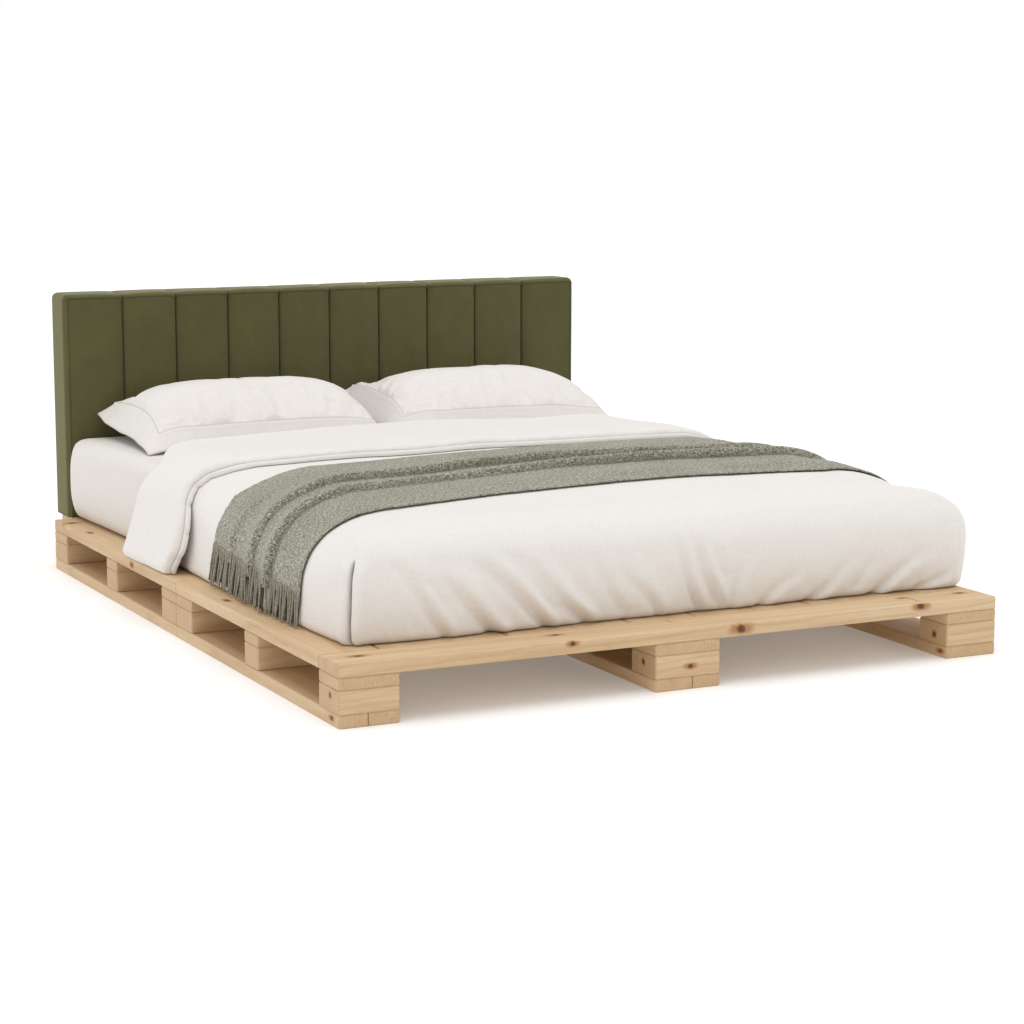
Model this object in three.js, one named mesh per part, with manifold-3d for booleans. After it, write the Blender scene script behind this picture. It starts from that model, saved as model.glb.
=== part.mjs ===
import * as THREE from 'three';
import { mergeVertices } from 'three/addons/utils/BufferGeometryUtils.js';
import Module from 'manifold-3d';

const wasm = await Module();
wasm.setup();

// A pine pallet bed with a channelled headboard, made up with its bedding.
// Lengths are in millimetres. X runs across the bed, Y from foot to head and Z up.
// The origin is on the floor, under the middle of the whole bed.

// Pallet base: two modules end to end, each with three lines of runner, blocks and pads
const bedWidth = 1750;
const moduleLength = 1080;
const moduleNames = ['foot', 'head'];
const runnerThickness = 30;
const blockHeight = 55;
const padThickness = 28;
const deckThickness = 31;
const edgeLineWidth = 145;
const middleLineWidth = 172;
const endRowDepth = 116;
const middleRowDepth = 90;
const bayBoardGap = 5;
const bayBoardCount = 2;
const edgeEase = 2.5;

// The half lap that carries the front ends of the deck boards on the end board
const lapLength = 40;
const lapThickness = 15;
const lapClearance = 0.3;
const lapStop = 24;

// Headboard: a hollow frame with a ply front, padded, on two shouldered posts
const headboardWidth = 1660;
const headboardHeight = 650;
const headboardDepth = 118;
const headboardStandOff = 2;
const headboardLift = 2;
const channelCount = 10;
const endChannelExtra = 17.5;
const channelDepth = 13;
const channelCurve = 4;
const channelBackDepth = 3;
const padFrontThickness = 36;
const padWrapThickness = 14;
const padEdgeRadius = 18;
const plyThickness = 12;
const frameRailWidth = 30;
const frameStudWidth = 40;
const backClothThickness = 2;
const postFootWidth = 90;
const postTopWidth = 50;
const postTopDepth = 40;
const postRise = 500;
const postClearance = 0.5;
const upholsteryGap = 0.3;

// Mattress
const mattressWidth = 1630;
const mattressLength = 2000;
const mattressHeight = 236;
const mattressHeadGap = 4;
const mattressEdgeRadius = 42;
const mattressBulge = 14;
const mattressFootShift = 35;
const mattressHeadShift = -8;
const mattressPullIn = 5;
const mattressCrown = 8;
const beddingGap = 0.4;

// Duvet: laid over the mattress down to the deck, its head end turned back in a band
const duvetSideThickness = 13;
const duvetTopThickness = 16;
const duvetShoulderWidth = 125;
const duvetFrontRadius = 66;
const duvetShoulderHeight = 80;
const duvetLoft = 12;
const duvetPillowGap = 8;
const bandLength = 493;
const bandThickness = 17;
const bandStep = 14;
const bandSideAdvance = 29;
const bandShoulderAdvance = 90;
const headEdgeDroop = 250;
const headEdgeHemReturn = 130;
const headEdgeTurn = 210;
const flapFlare = 40;
const flapFlareRight = 14;
const duvetRightFullness = 6;
const duvetFrontFullness = 12;
const hemWave = 6;
const hemWaveLength = 340;
const flareCurve = 1.6;
const loftCurve = 0.5;
const swingCurve = 3;

// Throw: laid across the bed, with two raised pleats and a knotted fringe at both hems
const throwThickness = 6;
const throwWidth = 635;
const throwFootSetback = 302;
const throwSkew = 72;
const throwFootDrift = -28;
const throwHeadDrift = 54;
const throwHem = 248;
const pleatRise = 14;
const pleatWidth = 62;
const pleatCurve = 1.5;
const fringeLength = 96;
const fringeCount = 28;
const strandWidth = 7;
const strandSunk = 5;
const strandStandOff = 5;

// Pillows, each with a flat flange round a filled middle
const pillowWidth = 734;
const pillowDepth = 462;
const pillowGap = 14;
const pillowFlange = 40;
const pillowFlangeThickness = 7;
const pillowCrown = 122;
const pillowFrontRise = 14;
const pillowBackRise = 66;
const pillowPullIn = 20;
const pillowCurveAcross = 2.6;
const pillowCurveAlong = 3;
const pillowFillCurve = 0.52;
const pillowUnderCurve = 1.5;
const pillowHeadGap = 14;
const pillowSettle = 0.8;

// One length by which every cut runs past what it cuts
const overrun = 5;

// Coordinates are rounded to whole parts of a millimetre, so faces that touch share one plane
const stepsPerMillimetre = 1024;

// Heights and places worked out from the sizes above
const deckLength = moduleLength * moduleNames.length;
const deckTop = runnerThickness + blockHeight + padThickness + deckThickness;
const wholeLength = deckLength + headboardStandOff + headboardDepth;
const footY = -wholeLength / 2;
const deckHeadY = footY + deckLength;
const headboardFrontY = deckHeadY + headboardStandOff;
const headboardBackY = headboardFrontY + headboardDepth;
const headboardBottom = deckTop + headboardLift;
const headboardTop = headboardBottom + headboardHeight;

// Finishes
const pine = new THREE.MeshStandardMaterial({ color: 0xd3b184, roughness: 0.62, metalness: 0 });
const frameTimber = new THREE.MeshStandardMaterial({ color: 0xc2a273, roughness: 0.7, metalness: 0 });
const oliveCloth = new THREE.MeshStandardMaterial({ color: 0x5b5834, roughness: 0.9, metalness: 0 });
const liningCloth = new THREE.MeshStandardMaterial({ color: 0x2b2b26, roughness: 0.95, metalness: 0 });
const sheetCloth = new THREE.MeshStandardMaterial({ color: 0xe4dedb, roughness: 0.92, metalness: 0 });
const duvetCloth = new THREE.MeshStandardMaterial({ color: 0xe8e2de, roughness: 0.92, metalness: 0 });
const throwWool = new THREE.MeshStandardMaterial({ color: 0x8f8f7c, roughness: 1, metalness: 0 });

function snap(value) {
  return Math.round(value * stepsPerMillimetre) / stepsPerMillimetre;
}

function mix(from, to, share) {
  return from + (to - from) * share;
}

// Rises from 0 at share 0 to 1 at share 1 with level ends
function easeStep(share) {
  return THREE.MathUtils.smoothstep(share, 0, 1);
}

// Rises from 0 at both ends to 1 in the middle, along a parabola
function hump(share) {
  return 4 * share * (1 - share);
}

// Keeps only the positions, joins shared vertices and rounds every coordinate
function cleanGeometry(geometry) {
  geometry.deleteAttribute('normal');
  geometry.deleteAttribute('uv');
  const positions = geometry.attributes.position;
  for (let i = 0; i < positions.count; i += 1) {
    positions.setXYZ(i, snap(positions.getX(i)), snap(positions.getY(i)), snap(positions.getZ(i)));
  }
  return mergeVertices(geometry);
}

function toSolid(geometry) {
  const clean = cleanGeometry(geometry);
  return new wasm.Manifold(new wasm.Mesh({
    numProp: 3,
    vertProperties: clean.attributes.position.array,
    triVerts: new Uint32Array(clean.index.array),
  }));
}

function toGeometry(solid) {
  const mesh = solid.getMesh();
  const geometry = new THREE.BufferGeometry();
  geometry.setAttribute('position', new THREE.BufferAttribute(mesh.vertProperties, 3));
  geometry.setIndex(new THREE.BufferAttribute(mesh.triVerts, 1));
  return geometry;
}

// A box between two corners, as a solid for joining and cutting
function boxSolid(low, high) {
  const geometry = new THREE.BoxGeometry(high[0] - low[0], high[1] - low[1], high[2] - low[2]);
  geometry.translate((low[0] + high[0]) / 2, (low[1] + high[1]) / 2, (low[2] + high[2]) / 2);
  return toSolid(geometry);
}

// A sawn timber with all its edges eased, standing on its own corner
function timberGeometry(size) {
  const [sizeX, sizeY, sizeZ] = size;
  const outline = new THREE.Shape();
  outline.moveTo(edgeEase, 0);
  outline.lineTo(sizeX - edgeEase, 0);
  outline.lineTo(sizeX, edgeEase);
  outline.lineTo(sizeX, sizeY - edgeEase);
  outline.lineTo(sizeX - edgeEase, sizeY);
  outline.lineTo(edgeEase, sizeY);
  outline.lineTo(0, sizeY - edgeEase);
  outline.lineTo(0, edgeEase);
  outline.closePath();
  const geometry = new THREE.ExtrudeGeometry(outline, {
    depth: sizeZ - 2 * edgeEase,
    bevelEnabled: true,
    bevelThickness: edgeEase,
    bevelSize: edgeEase,
    bevelOffset: -edgeEase,
    bevelSegments: 1,
  });
  geometry.translate(0, 0, edgeEase);
  return geometry;
}

function addPart(parent, name, geometry, material, place = [0, 0, 0]) {
  const mesh = new THREE.Mesh(geometry, material);
  mesh.name = name;
  mesh.position.set(snap(place[0]), snap(place[1]), snap(place[2]));
  parent.add(mesh);
  return mesh;
}

function addTimber(parent, name, low, high) {
  const size = high.map((value, axis) => snap(value) - snap(low[axis]));
  return addPart(parent, name, cleanGeometry(timberGeometry(size)), pine, low);
}

// Pallet base

// The three lines of blocks, each from its lowest to its highest X
const lines = {
  left: [-bedWidth / 2, -bedWidth / 2 + edgeLineWidth],
  middle: [-middleLineWidth / 2, middleLineWidth / 2],
  right: [bedWidth / 2 - edgeLineWidth, bedWidth / 2],
};

// The rows of one module, as distances from its outer end
const rows = {
  end: [0, endRowDepth],
  mid: [(moduleLength - middleRowDepth) / 2, (moduleLength + middleRowDepth) / 2],
  seam: [moduleLength - endRowDepth, moduleLength],
};

// Turns two distances from a module's outer end into its lowest and highest Y
function spanInModule(moduleName, near, far) {
  if (moduleName === 'foot') {
    return [footY + near, footY + far];
  }
  return [deckHeadY - far, deckHeadY - near];
}

// Left and right X of every deck board, from the left side to the right
function deckBoardSpans() {
  const spans = [lines.left];
  for (const [from, to] of [[lines.left[1], lines.middle[0]], [lines.middle[1], lines.right[0]]]) {
    const width = (to - from - (bayBoardCount + 1) * bayBoardGap) / bayBoardCount;
    for (let i = 0; i < bayBoardCount; i += 1) {
      const start = from + bayBoardGap + i * (width + bayBoardGap);
      spans.push([start, start + width]);
    }
    if (to === lines.middle[0]) {
      spans.push(lines.middle);
    }
  }
  spans.push(lines.right);
  return spans;
}

const deckBoardNames = ['left_side', 'bay_1', 'bay_2', 'middle', 'bay_3', 'bay_4', 'right_side'];

function addLineTimbers(parent, moduleName, lineName) {
  const [lowX, highX] = lines[lineName];
  const runnerSpan = spanInModule(moduleName, 0, moduleLength);
  addTimber(parent, `${moduleName}_${lineName}_runner`,
    [lowX, runnerSpan[0], 0], [highX, runnerSpan[1], runnerThickness]);
  for (const [rowName, row] of Object.entries(rows)) {
    const [lowY, highY] = spanInModule(moduleName, row[0], row[1]);
    addTimber(parent, `${moduleName}_${lineName}_${rowName}_block`,
      [lowX, lowY, runnerThickness], [highX, highY, runnerThickness + blockHeight]);
  }
  const [padLowY, padHighY] = spanInModule(moduleName, rows.end[0], rows.end[1]);
  addTimber(parent, `${moduleName}_${lineName}_end_pad`,
    [lowX, padLowY, runnerThickness + blockHeight], [highX, padHighY, deckTop - deckThickness]);
}

function addStringer(parent, moduleName, rowName) {
  const [lowY, highY] = spanInModule(moduleName, rows[rowName][0], rows[rowName][1]);
  addTimber(parent, `${moduleName}_${rowName}_stringer`,
    [-bedWidth / 2, lowY, runnerThickness + blockHeight], [bedWidth / 2, highY, deckTop - deckThickness]);
}

// The end board, with a stopped rebate under its inner edge for the tongues of the deck boards
function addEndBoard(parent, moduleName) {
  const deckBottom = deckTop - deckThickness;
  const [lowY] = spanInModule(moduleName, 0, endRowDepth);
  const size = [bedWidth, endRowDepth, deckThickness].map(snap);
  const geometry = timberGeometry(size);
  geometry.translate(-bedWidth / 2, snap(lowY), snap(deckBottom));
  const rebateReach = bedWidth / 2 - lapStop;
  const [rebateLow, rebateHigh] = spanInModule(moduleName, endRowDepth - lapLength, endRowDepth + overrun);
  const rebate = boxSolid(
    [-rebateReach, rebateLow, deckBottom - overrun],
    [rebateReach, rebateHigh, deckBottom + lapThickness]);
  const board = toSolid(geometry).subtract(rebate);
  addPart(parent, `${moduleName}_end_board`, toGeometry(board), pine);
}

// A deck board with the tongue that lies in the end board's rebate
function addDeckBoard(parent, moduleName, name, span) {
  const deckBottom = deckTop - deckThickness;
  const [lowY, highY] = spanInModule(moduleName, endRowDepth, moduleLength);
  const size = [span[1] - span[0], highY - lowY, deckThickness].map(snap);
  const geometry = timberGeometry(size);
  geometry.translate(snap(span[0]), snap(lowY), snap(deckBottom));
  const tongueLimit = bedWidth / 2 - lapStop - lapClearance;
  const [tongueLow, tongueHigh] = spanInModule(
    moduleName, endRowDepth - lapLength + lapClearance, endRowDepth + lapLength);
  const tongue = boxSolid(
    [Math.max(span[0] + edgeEase, -tongueLimit), tongueLow, deckBottom],
    [Math.min(span[1] - edgeEase, tongueLimit), tongueHigh, deckBottom + lapThickness - lapClearance]);
  addPart(parent, `${moduleName}_${name}_board`, toGeometry(toSolid(geometry).add(tongue)), pine);
}

function makeModule(moduleName) {
  const module = new THREE.Group();
  for (const lineName of Object.keys(lines)) {
    addLineTimbers(module, moduleName, lineName);
  }
  addStringer(module, moduleName, 'mid');
  addStringer(module, moduleName, 'seam');
  addEndBoard(module, moduleName);
  deckBoardSpans().forEach((span, i) => {
    addDeckBoard(module, moduleName, deckBoardNames[i], span);
  });
  return module;
}

// Soft forms

// Shares of an edge radius at which its arc has a line of vertices, up to the middle of the arc
const arcSteps = 3;
const arcShares = Array.from(
  { length: arcSteps + 1 }, (unused, step) => Math.tan((step / arcSteps) * (Math.PI / 4)));

// Stations across a width: the two rounded edges, with inner shares of the flat part between
function stationsAcross(low, high, lowRadius, highRadius, innerShares) {
  const lowArc = lowRadius > 0 ? arcShares.map((share) => low + lowRadius * (1 - share)).reverse() : [low];
  const highArc = highRadius > 0 ? arcShares.map((share) => high - highRadius * (1 - share)) : [high];
  const flatLow = lowArc[lowArc.length - 1];
  const flatHigh = highArc[0];
  return [...lowArc, ...innerShares.map((share) => mix(flatLow, flatHigh, share)), ...highArc];
}

function evenShares(count) {
  return Array.from({ length: count }, (unused, i) => (i + 1) / (count + 1));
}

// The surface of a box with its vertices at the given stations, each moved to its place by a function
function stationedForm(stationsX, stationsY, stationsZ, placePoint) {
  const geometry = new THREE.BoxGeometry(
    1, 1, 1, stationsX.length - 1, stationsY.length - 1, stationsZ.length - 1);
  const positions = geometry.attributes.position;
  const stationAt = (stations, share) => stations[Math.round((share + 0.5) * (stations.length - 1))];
  for (let i = 0; i < positions.count; i += 1) {
    const point = new THREE.Vector3(
      stationAt(stationsX, positions.getX(i)),
      stationAt(stationsY, positions.getY(i)),
      stationAt(stationsZ, positions.getZ(i)));
    const placed = placePoint(point);
    positions.setXYZ(i, placed.x, placed.y, placed.z);
  }
  return cleanGeometry(geometry);
}

// Rounds a point of a box over its edges, with a radius along each axis.
// An axis end that isn't rounded stays square.
// Gives the rounded point and the way out of the surface there.
function roundOver(point, low, high, radii, roundedLow, roundedHigh) {
  const kernel = point.clone();
  ['x', 'y', 'z'].forEach((axis, i) => {
    const least = roundedLow[i] ? low[i] + radii.getComponent(i) : -Infinity;
    const most = roundedHigh[i] ? high[i] - radii.getComponent(i) : Infinity;
    kernel[axis] = Math.min(Math.max(point[axis], least), most);
  });
  const out = point.clone().sub(kernel).divide(radii);
  if (out.lengthSq() === 0) {
    return { place: point.clone(), out };
  }
  out.normalize();
  const place = kernel.add(out.clone().multiply(radii));
  return { place, out: out.divide(radii).normalize() };
}

// Mattress

const mattressBack = headboardFrontY - mattressHeadGap;
const mattressFront = mattressBack - mattressLength;
const mattressMiddleY = (mattressFront + mattressBack) / 2;
const mattressTop = deckTop + mattressHeight;
const mattressHalfWidth = mattressWidth / 2 - mattressBulge;
const mattressInnerShares = evenShares(3);
const mattressLengthShares = evenShares(4);
const mattressHeightShares = evenShares(1);

// How far the mattress stands above its nominal top at a place on it
function mattressCrownAt(x, y) {
  const across = THREE.MathUtils.clamp(x / mattressHalfWidth, -1, 1);
  const along = THREE.MathUtils.clamp((y - mattressMiddleY) / (mattressLength / 2), -1, 1);
  return mattressCrown * (1 - across ** 2) * (1 - along ** 4);
}

// How far a side of the bedding stands out at a height, and is drawn in between its corners
function sideFullnessAt(out, y, z) {
  const upShare = THREE.MathUtils.clamp((z - deckTop) / mattressHeight, 0, 1);
  const alongShare = THREE.MathUtils.clamp((y - mattressFront) / mattressLength, 0, 1);
  return Math.abs(out.x) * (mattressBulge * hump(upShare) - mattressPullIn * hump(alongShare));
}

// How far the bedding lies to the right at a place along the bed
function beddingShiftAt(y) {
  const alongShare = THREE.MathUtils.clamp((y - mattressFront) / mattressLength, 0, 1);
  return mix(mattressFootShift, mattressHeadShift, alongShare);
}

// The mattress form, grown by an offset. Where it is cut out of the duvet, its underside is
// square and runs down past the deck.
function mattressForm(offset, squareUnder) {
  const low = [-mattressHalfWidth - offset, mattressFront - offset, deckTop];
  const high = [mattressHalfWidth + offset, mattressBack + offset, mattressTop + offset];
  const radius = mattressEdgeRadius + offset;
  const radii = new THREE.Vector3(radius, radius, radius);
  const stationsUp = stationsAcross(low[2], high[2], radius, radius, mattressHeightShares);
  if (squareUnder) {
    stationsUp[0] -= overrun;
  }
  return stationedForm(
    stationsAcross(low[0], high[0], radius, radius, mattressInnerShares),
    stationsAcross(low[1], high[1], radius, radius, mattressLengthShares),
    stationsUp,
    (point) => {
      const { place, out } = roundOver(
        point, low, high, radii, [true, true, !squareUnder], [true, true, true]);
      place.z += Math.max(out.z, 0) * mattressCrownAt(place.x, place.y);
      place.x += Math.sign(out.x) * sideFullnessAt(out, place.y, place.z) + beddingShiftAt(place.y);
      return place;
    });
}

// Duvet

const duvetBack = headboardFrontY - pillowHeadGap - pillowDepth - duvetPillowGap;
const bandEdge = duvetBack - bandLength;
const duvetBottom = deckTop + beddingGap;
const duvetHalfWidth = mattressHalfWidth + beddingGap + duvetSideThickness;
const duvetFront = mattressFront - beddingGap - duvetSideThickness;
const duvetTop = mattressTop + beddingGap + duvetTopThickness;
const duvetRadii = new THREE.Vector3(duvetShoulderWidth, duvetFrontRadius, duvetShoulderHeight);

// How far down its hanging side a point of the duvet lies, from 0 at the top to 1 at the deck
function hangShare(z) {
  return THREE.MathUtils.clamp((duvetTop - z) / (duvetTop - duvetBottom), 0, 1);
}

// How far a point of the duvet's box has turned from its top on to its side, from 0 to 1
function turnShare(x) {
  return easeStep((Math.abs(x) - duvetHalfWidth + headEdgeTurn) / headEdgeTurn);
}

// Y of the band's foot edge, which swings forward over the shoulder
function bandEdgeAt(x, z) {
  const swing = Math.sin(Math.PI * (1 - hangShare(z)) / 2) ** swingCurve;
  return bandEdge - (bandSideAdvance + bandShoulderAdvance * swing) * turnShare(x);
}

// Y of the duvet's head edge, which runs forward on its sides and a little back at the hem
function headEdgeAt(x, z) {
  return duvetBack - (headEdgeDroop - headEdgeHemReturn * hangShare(z)) * turnShare(x);
}

// Slides the stations of the band along the bed, so that its two edges follow their lines
function slideBand(point, z) {
  const start = bandEdge - bandLength / 2;
  if (point.y <= start) {
    return point.y;
  }
  if (point.y <= bandEdge) {
    return mix(start, bandEdgeAt(point.x, z), (point.y - start) / (bandEdge - start));
  }
  return mix(bandEdgeAt(point.x, z), headEdgeAt(point.x, z), (point.y - bandEdge) / (duvetBack - bandEdge));
}

// What the duvet adds along the way out: loft on top, fullness at the right side and the foot,
// the band's second layer, the flaring flap and small waves at the hem
function duvetFullnessAt(place, out, stationY) {
  const hang = hangShare(place.z);
  const inBand = easeStep((stationY - bandEdge) / bandStep);
  const middle = Math.sin(Math.PI * hang);
  const waves = hemWave * hang ** 2 * Math.sin(Math.PI * place.y / hemWaveLength) ** 2;
  const flare = (out.x < 0 ? flapFlare : flapFlareRight) * hang ** flareCurve * inBand;
  const side = Math.abs(out.x) * (flare + (out.x < 0 ? waves : 0));
  const right = Math.max(out.x, 0) * duvetRightFullness * middle * (1 - inBand);
  const front = Math.max(-out.y, 0) * (duvetFrontFullness * middle + waves / 2);
  return duvetLoft * Math.max(out.z, 0) ** loftCurve + side + right + front + bandThickness * inBand;
}

// Places a point of the duvet's box, grown by an offset from the duvet's outer surface
function placeOnDuvet(point, offset) {
  const low = [-duvetHalfWidth, duvetFront, duvetBottom];
  const high = [duvetHalfWidth, duvetBack, duvetTop];
  const { place, out } = roundOver(
    point, low, high, duvetRadii, [true, true, false], [true, false, true]);
  const fullness = duvetFullnessAt(place, out, point.y) + sideFullnessAt(out, place.y, place.z) + offset;
  const crown = Math.max(out.z, 0) * mattressCrownAt(place.x, place.y);
  const slidY = slideBand(point, place.z) - point.y;
  place.addScaledVector(out, fullness);
  place.y += slidY;
  place.z += crown;
  place.x += beddingShiftAt(place.y);
  return place;
}

const duvetAcross = stationsAcross(
  -duvetHalfWidth, duvetHalfWidth, duvetShoulderWidth, duvetShoulderWidth, evenShares(4));
const duvetUp = stationsAcross(duvetBottom, duvetTop, 0, duvetShoulderHeight, evenShares(3));
const duvetAlong = [
  ...stationsAcross(duvetFront, bandEdge, duvetFrontRadius, 0, evenShares(8)),
  bandEdge + bandStep / 2,
  bandEdge + bandStep,
  ...evenShares(3).map((share) => mix(bandEdge + bandStep, duvetBack, share)),
  duvetBack,
];

function duvetForm(offset) {
  return toSolid(stationedForm(duvetAcross, duvetAlong, duvetUp, (point) => placeOnDuvet(point, offset)));
}

// Throw

const throwFoot = mattressFront + throwFootSetback;

// A point of the throw on the duvet's box. The throw lies a little askew on top,
// and where it hangs it drifts towards the foot and gathers.
function throwPoint(alongShare, x, z) {
  const askew = throwSkew * (x / duvetHalfWidth);
  const drift = mix(throwFootDrift, throwHeadDrift, alongShare) * hangShare(z);
  const leftShare = (1 - x / duvetHalfWidth) / 2;
  return new THREE.Vector3(x, throwFoot + throwWidth * alongShare + askew - drift * leftShare, z);
}

// The height of the two soft pleats above the cloth at a distance along the bed
const pleatShares = [0.36, 0.66];

function pleatAt(alongShare) {
  return pleatShares.reduce((rise, centre) => {
    const away = (alongShare - centre) * throwWidth / (pleatWidth / 2);
    return rise + pleatRise * Math.cos(Math.min(Math.abs(away), 1) * Math.PI / 2) ** pleatCurve;
  }, 0);
}

// Shares along the throw's width with a line of vertices, closer at the pleats
const throwAlongShares = [0, 0.14, 0.31, 0.36, 0.41, 0.51, 0.61, 0.66, 0.71, 0.86, 1];
const throwUp = [
  throwHem,
  ...duvetUp.filter((z) => z > throwHem + strandSunk),
];

function throwForm() {
  return toSolid(stationedForm(duvetAcross, throwAlongShares, throwUp, (point) => {
    const rim = point.y === 0 || point.y === 1 ? throwThickness / 2 : throwThickness;
    return placeOnDuvet(throwPoint(point.y, point.x, point.z), beddingGap + rim + pleatAt(point.y));
  }));
}

// Where a strand's inner and outer sides lie in the thickness of the cloth, as shares of it
const strandInnerShare = 0.1;
const strandOuterShare = 0.9;

// How much of a strand's width is left at its tip
const strandTipShare = 0.6;

// One strand of the fringe: a three-sided string from inside the hem down over the duvet's side
function fringeStrand(side, alongShare) {
  const boxX = side * duvetHalfWidth;
  const top = throwHem + strandSunk;
  const levels = [top, throwHem - fringeLength / 2, throwHem - fringeLength];
  const widths = [strandWidth, strandWidth, strandWidth * strandTipShare];
  const corners = [];
  levels.forEach((z, level) => {
    const hung = throwPoint(alongShare, boxX, z);
    const halfWidth = widths[level] / 2;
    const standOff = level === 0 ? 0 : strandStandOff;
    const inner = placeOnDuvet(hung, beddingGap + throwThickness * strandInnerShare + standOff);
    const outer = placeOnDuvet(hung, beddingGap + throwThickness * strandOuterShare + standOff);
    corners.push([inner.x, inner.y - halfWidth, z]);
    corners.push([inner.x, inner.y + halfWidth, z]);
    corners.push([outer.x, outer.y, z]);
  });
  const ring = side > 0 ? [0, 2, 1] : [0, 1, 2];
  const triangles = [];
  for (let level = 0; level < levels.length - 1; level += 1) {
    for (let i = 0; i < ring.length; i += 1) {
      const a = level * 3 + ring[i];
      const b = level * 3 + ring[(i + 1) % 3];
      triangles.push(a, a + 3, b, b, a + 3, b + 3);
    }
  }
  const last = (levels.length - 1) * 3;
  triangles.push(ring[0], ring[1], ring[2]);
  triangles.push(last + ring[0], last + ring[2], last + ring[1]);
  const geometry = new THREE.BufferGeometry();
  geometry.setAttribute('position', new THREE.BufferAttribute(new Float32Array(corners.flat()), 3));
  geometry.setIndex(triangles);
  return toSolid(geometry);
}

// The fringe's margin from the throw's two edges, as a share of its width
const fringeMarginShare = 0.02;

function throwSolid() {
  let solid = throwForm();
  for (const side of [-1, 1]) {
    for (let i = 0; i < fringeCount; i += 1) {
      const share = mix(fringeMarginShare, 1 - fringeMarginShare, i / (fringeCount - 1));
      solid = solid.add(fringeStrand(side, share));
    }
  }
  return solid.subtract(duvetForm(beddingGap));
}

// Pillows

const pillowBackY = headboardFrontY - pillowHeadGap;
const pillowMiddleY = pillowBackY - pillowDepth / 2;

// Vertex lines of a pillow, as shares of its half width or half depth, closer at the flange
const pillowAcrossShares = [0.2, 0.42, 0.62, 0.76];
const pillowAlongShares = [0.22, 0.45, 0.62];

function pillowStations(half, innerShares) {
  const seam = half - pillowFlange;
  const positive = [0, ...innerShares.map((share) => share * half), seam, half];
  return [...positive.slice(1).reverse().map((value) => -value), ...positive];
}

function makePillowForm(middleX) {
  const halfWidth = pillowWidth / 2;
  const halfDepth = pillowDepth / 2;
  const place = (point) => {
    const u = point.x / halfWidth;
    const v = point.y / halfDepth;
    const innerU = Math.min(Math.abs(point.x) / (halfWidth - pillowFlange), 1);
    const innerV = Math.min(Math.abs(point.y) / (halfDepth - pillowFlange), 1);
    const fill = ((1 - innerU ** pillowCurveAcross) * (1 - innerV ** pillowCurveAlong)) ** pillowFillCurve;
    const x = middleX + point.x - pillowPullIn * Math.sign(u) * Math.abs(u) ** 3 * (1 - v ** 2);
    const y = pillowMiddleY + point.y - pillowPullIn * Math.sign(v) * Math.abs(v) ** 3 * (1 - u ** 2) / 2;
    const seat = mattressTop + mattressCrownAt(x - beddingShiftAt(y), y) + beddingGap - pillowSettle;
    const edgeRise = mix(pillowFrontRise, pillowBackRise, (v + 1) / 2);
    const under = edgeRise * (1 - fill) ** pillowUnderCurve;
    if (point.z < 0) {
      return new THREE.Vector3(x, y, seat + under);
    }
    return new THREE.Vector3(x, y, seat + edgeRise * (1 - fill) + pillowFlangeThickness
      + (pillowCrown + edgeRise) * fill);
  };
  return stationedForm(
    pillowStations(halfWidth, pillowAcrossShares),
    pillowStations(halfDepth, pillowAlongShares),
    [-1, 1], place);
}

// Headboard

const channelWidth = (headboardWidth - 2 * endChannelExtra) / channelCount;
const coreHalfWidth = headboardWidth / 2 - padWrapThickness;
const coreFrontY = headboardFrontY + padFrontThickness;
const coreBackY = headboardBackY - backClothThickness;
const coreTop = headboardTop - padWrapThickness;
const hollowHalfWidth = coreHalfWidth - frameRailWidth;
const plyBackY = coreFrontY + plyThickness;

// X of every seam between two channels, with the two outer edges
function channelEdges() {
  const edges = [-headboardWidth / 2];
  for (let i = 1; i < channelCount; i += 1) {
    edges.push(-headboardWidth / 2 + endChannelExtra + i * channelWidth);
  }
  edges.push(headboardWidth / 2);
  return edges;
}

// Shares of a channel's width with a line of vertices, closer at its seams
const channelShares = [0, 0.06, 0.22, 0.5, 0.78, 0.94];

// How deep the cloth lies below a channel's crown at X: a full arch between seams
function channelFallAt(x) {
  const edges = channelEdges();
  const index = Math.min(edges.findIndex((edge, i) => x <= edges[i + 1]), channelCount - 1);
  const across = (2 * (x - edges[index])) / (edges[index + 1] - edges[index]) - 1;
  const outerSide = (index === 0 && across < 0) || (index === channelCount - 1 && across > 0);
  return outerSide ? 0 : 1 - Math.sqrt(Math.max(0, 1 - Math.abs(across) ** channelCurve));
}

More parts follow.
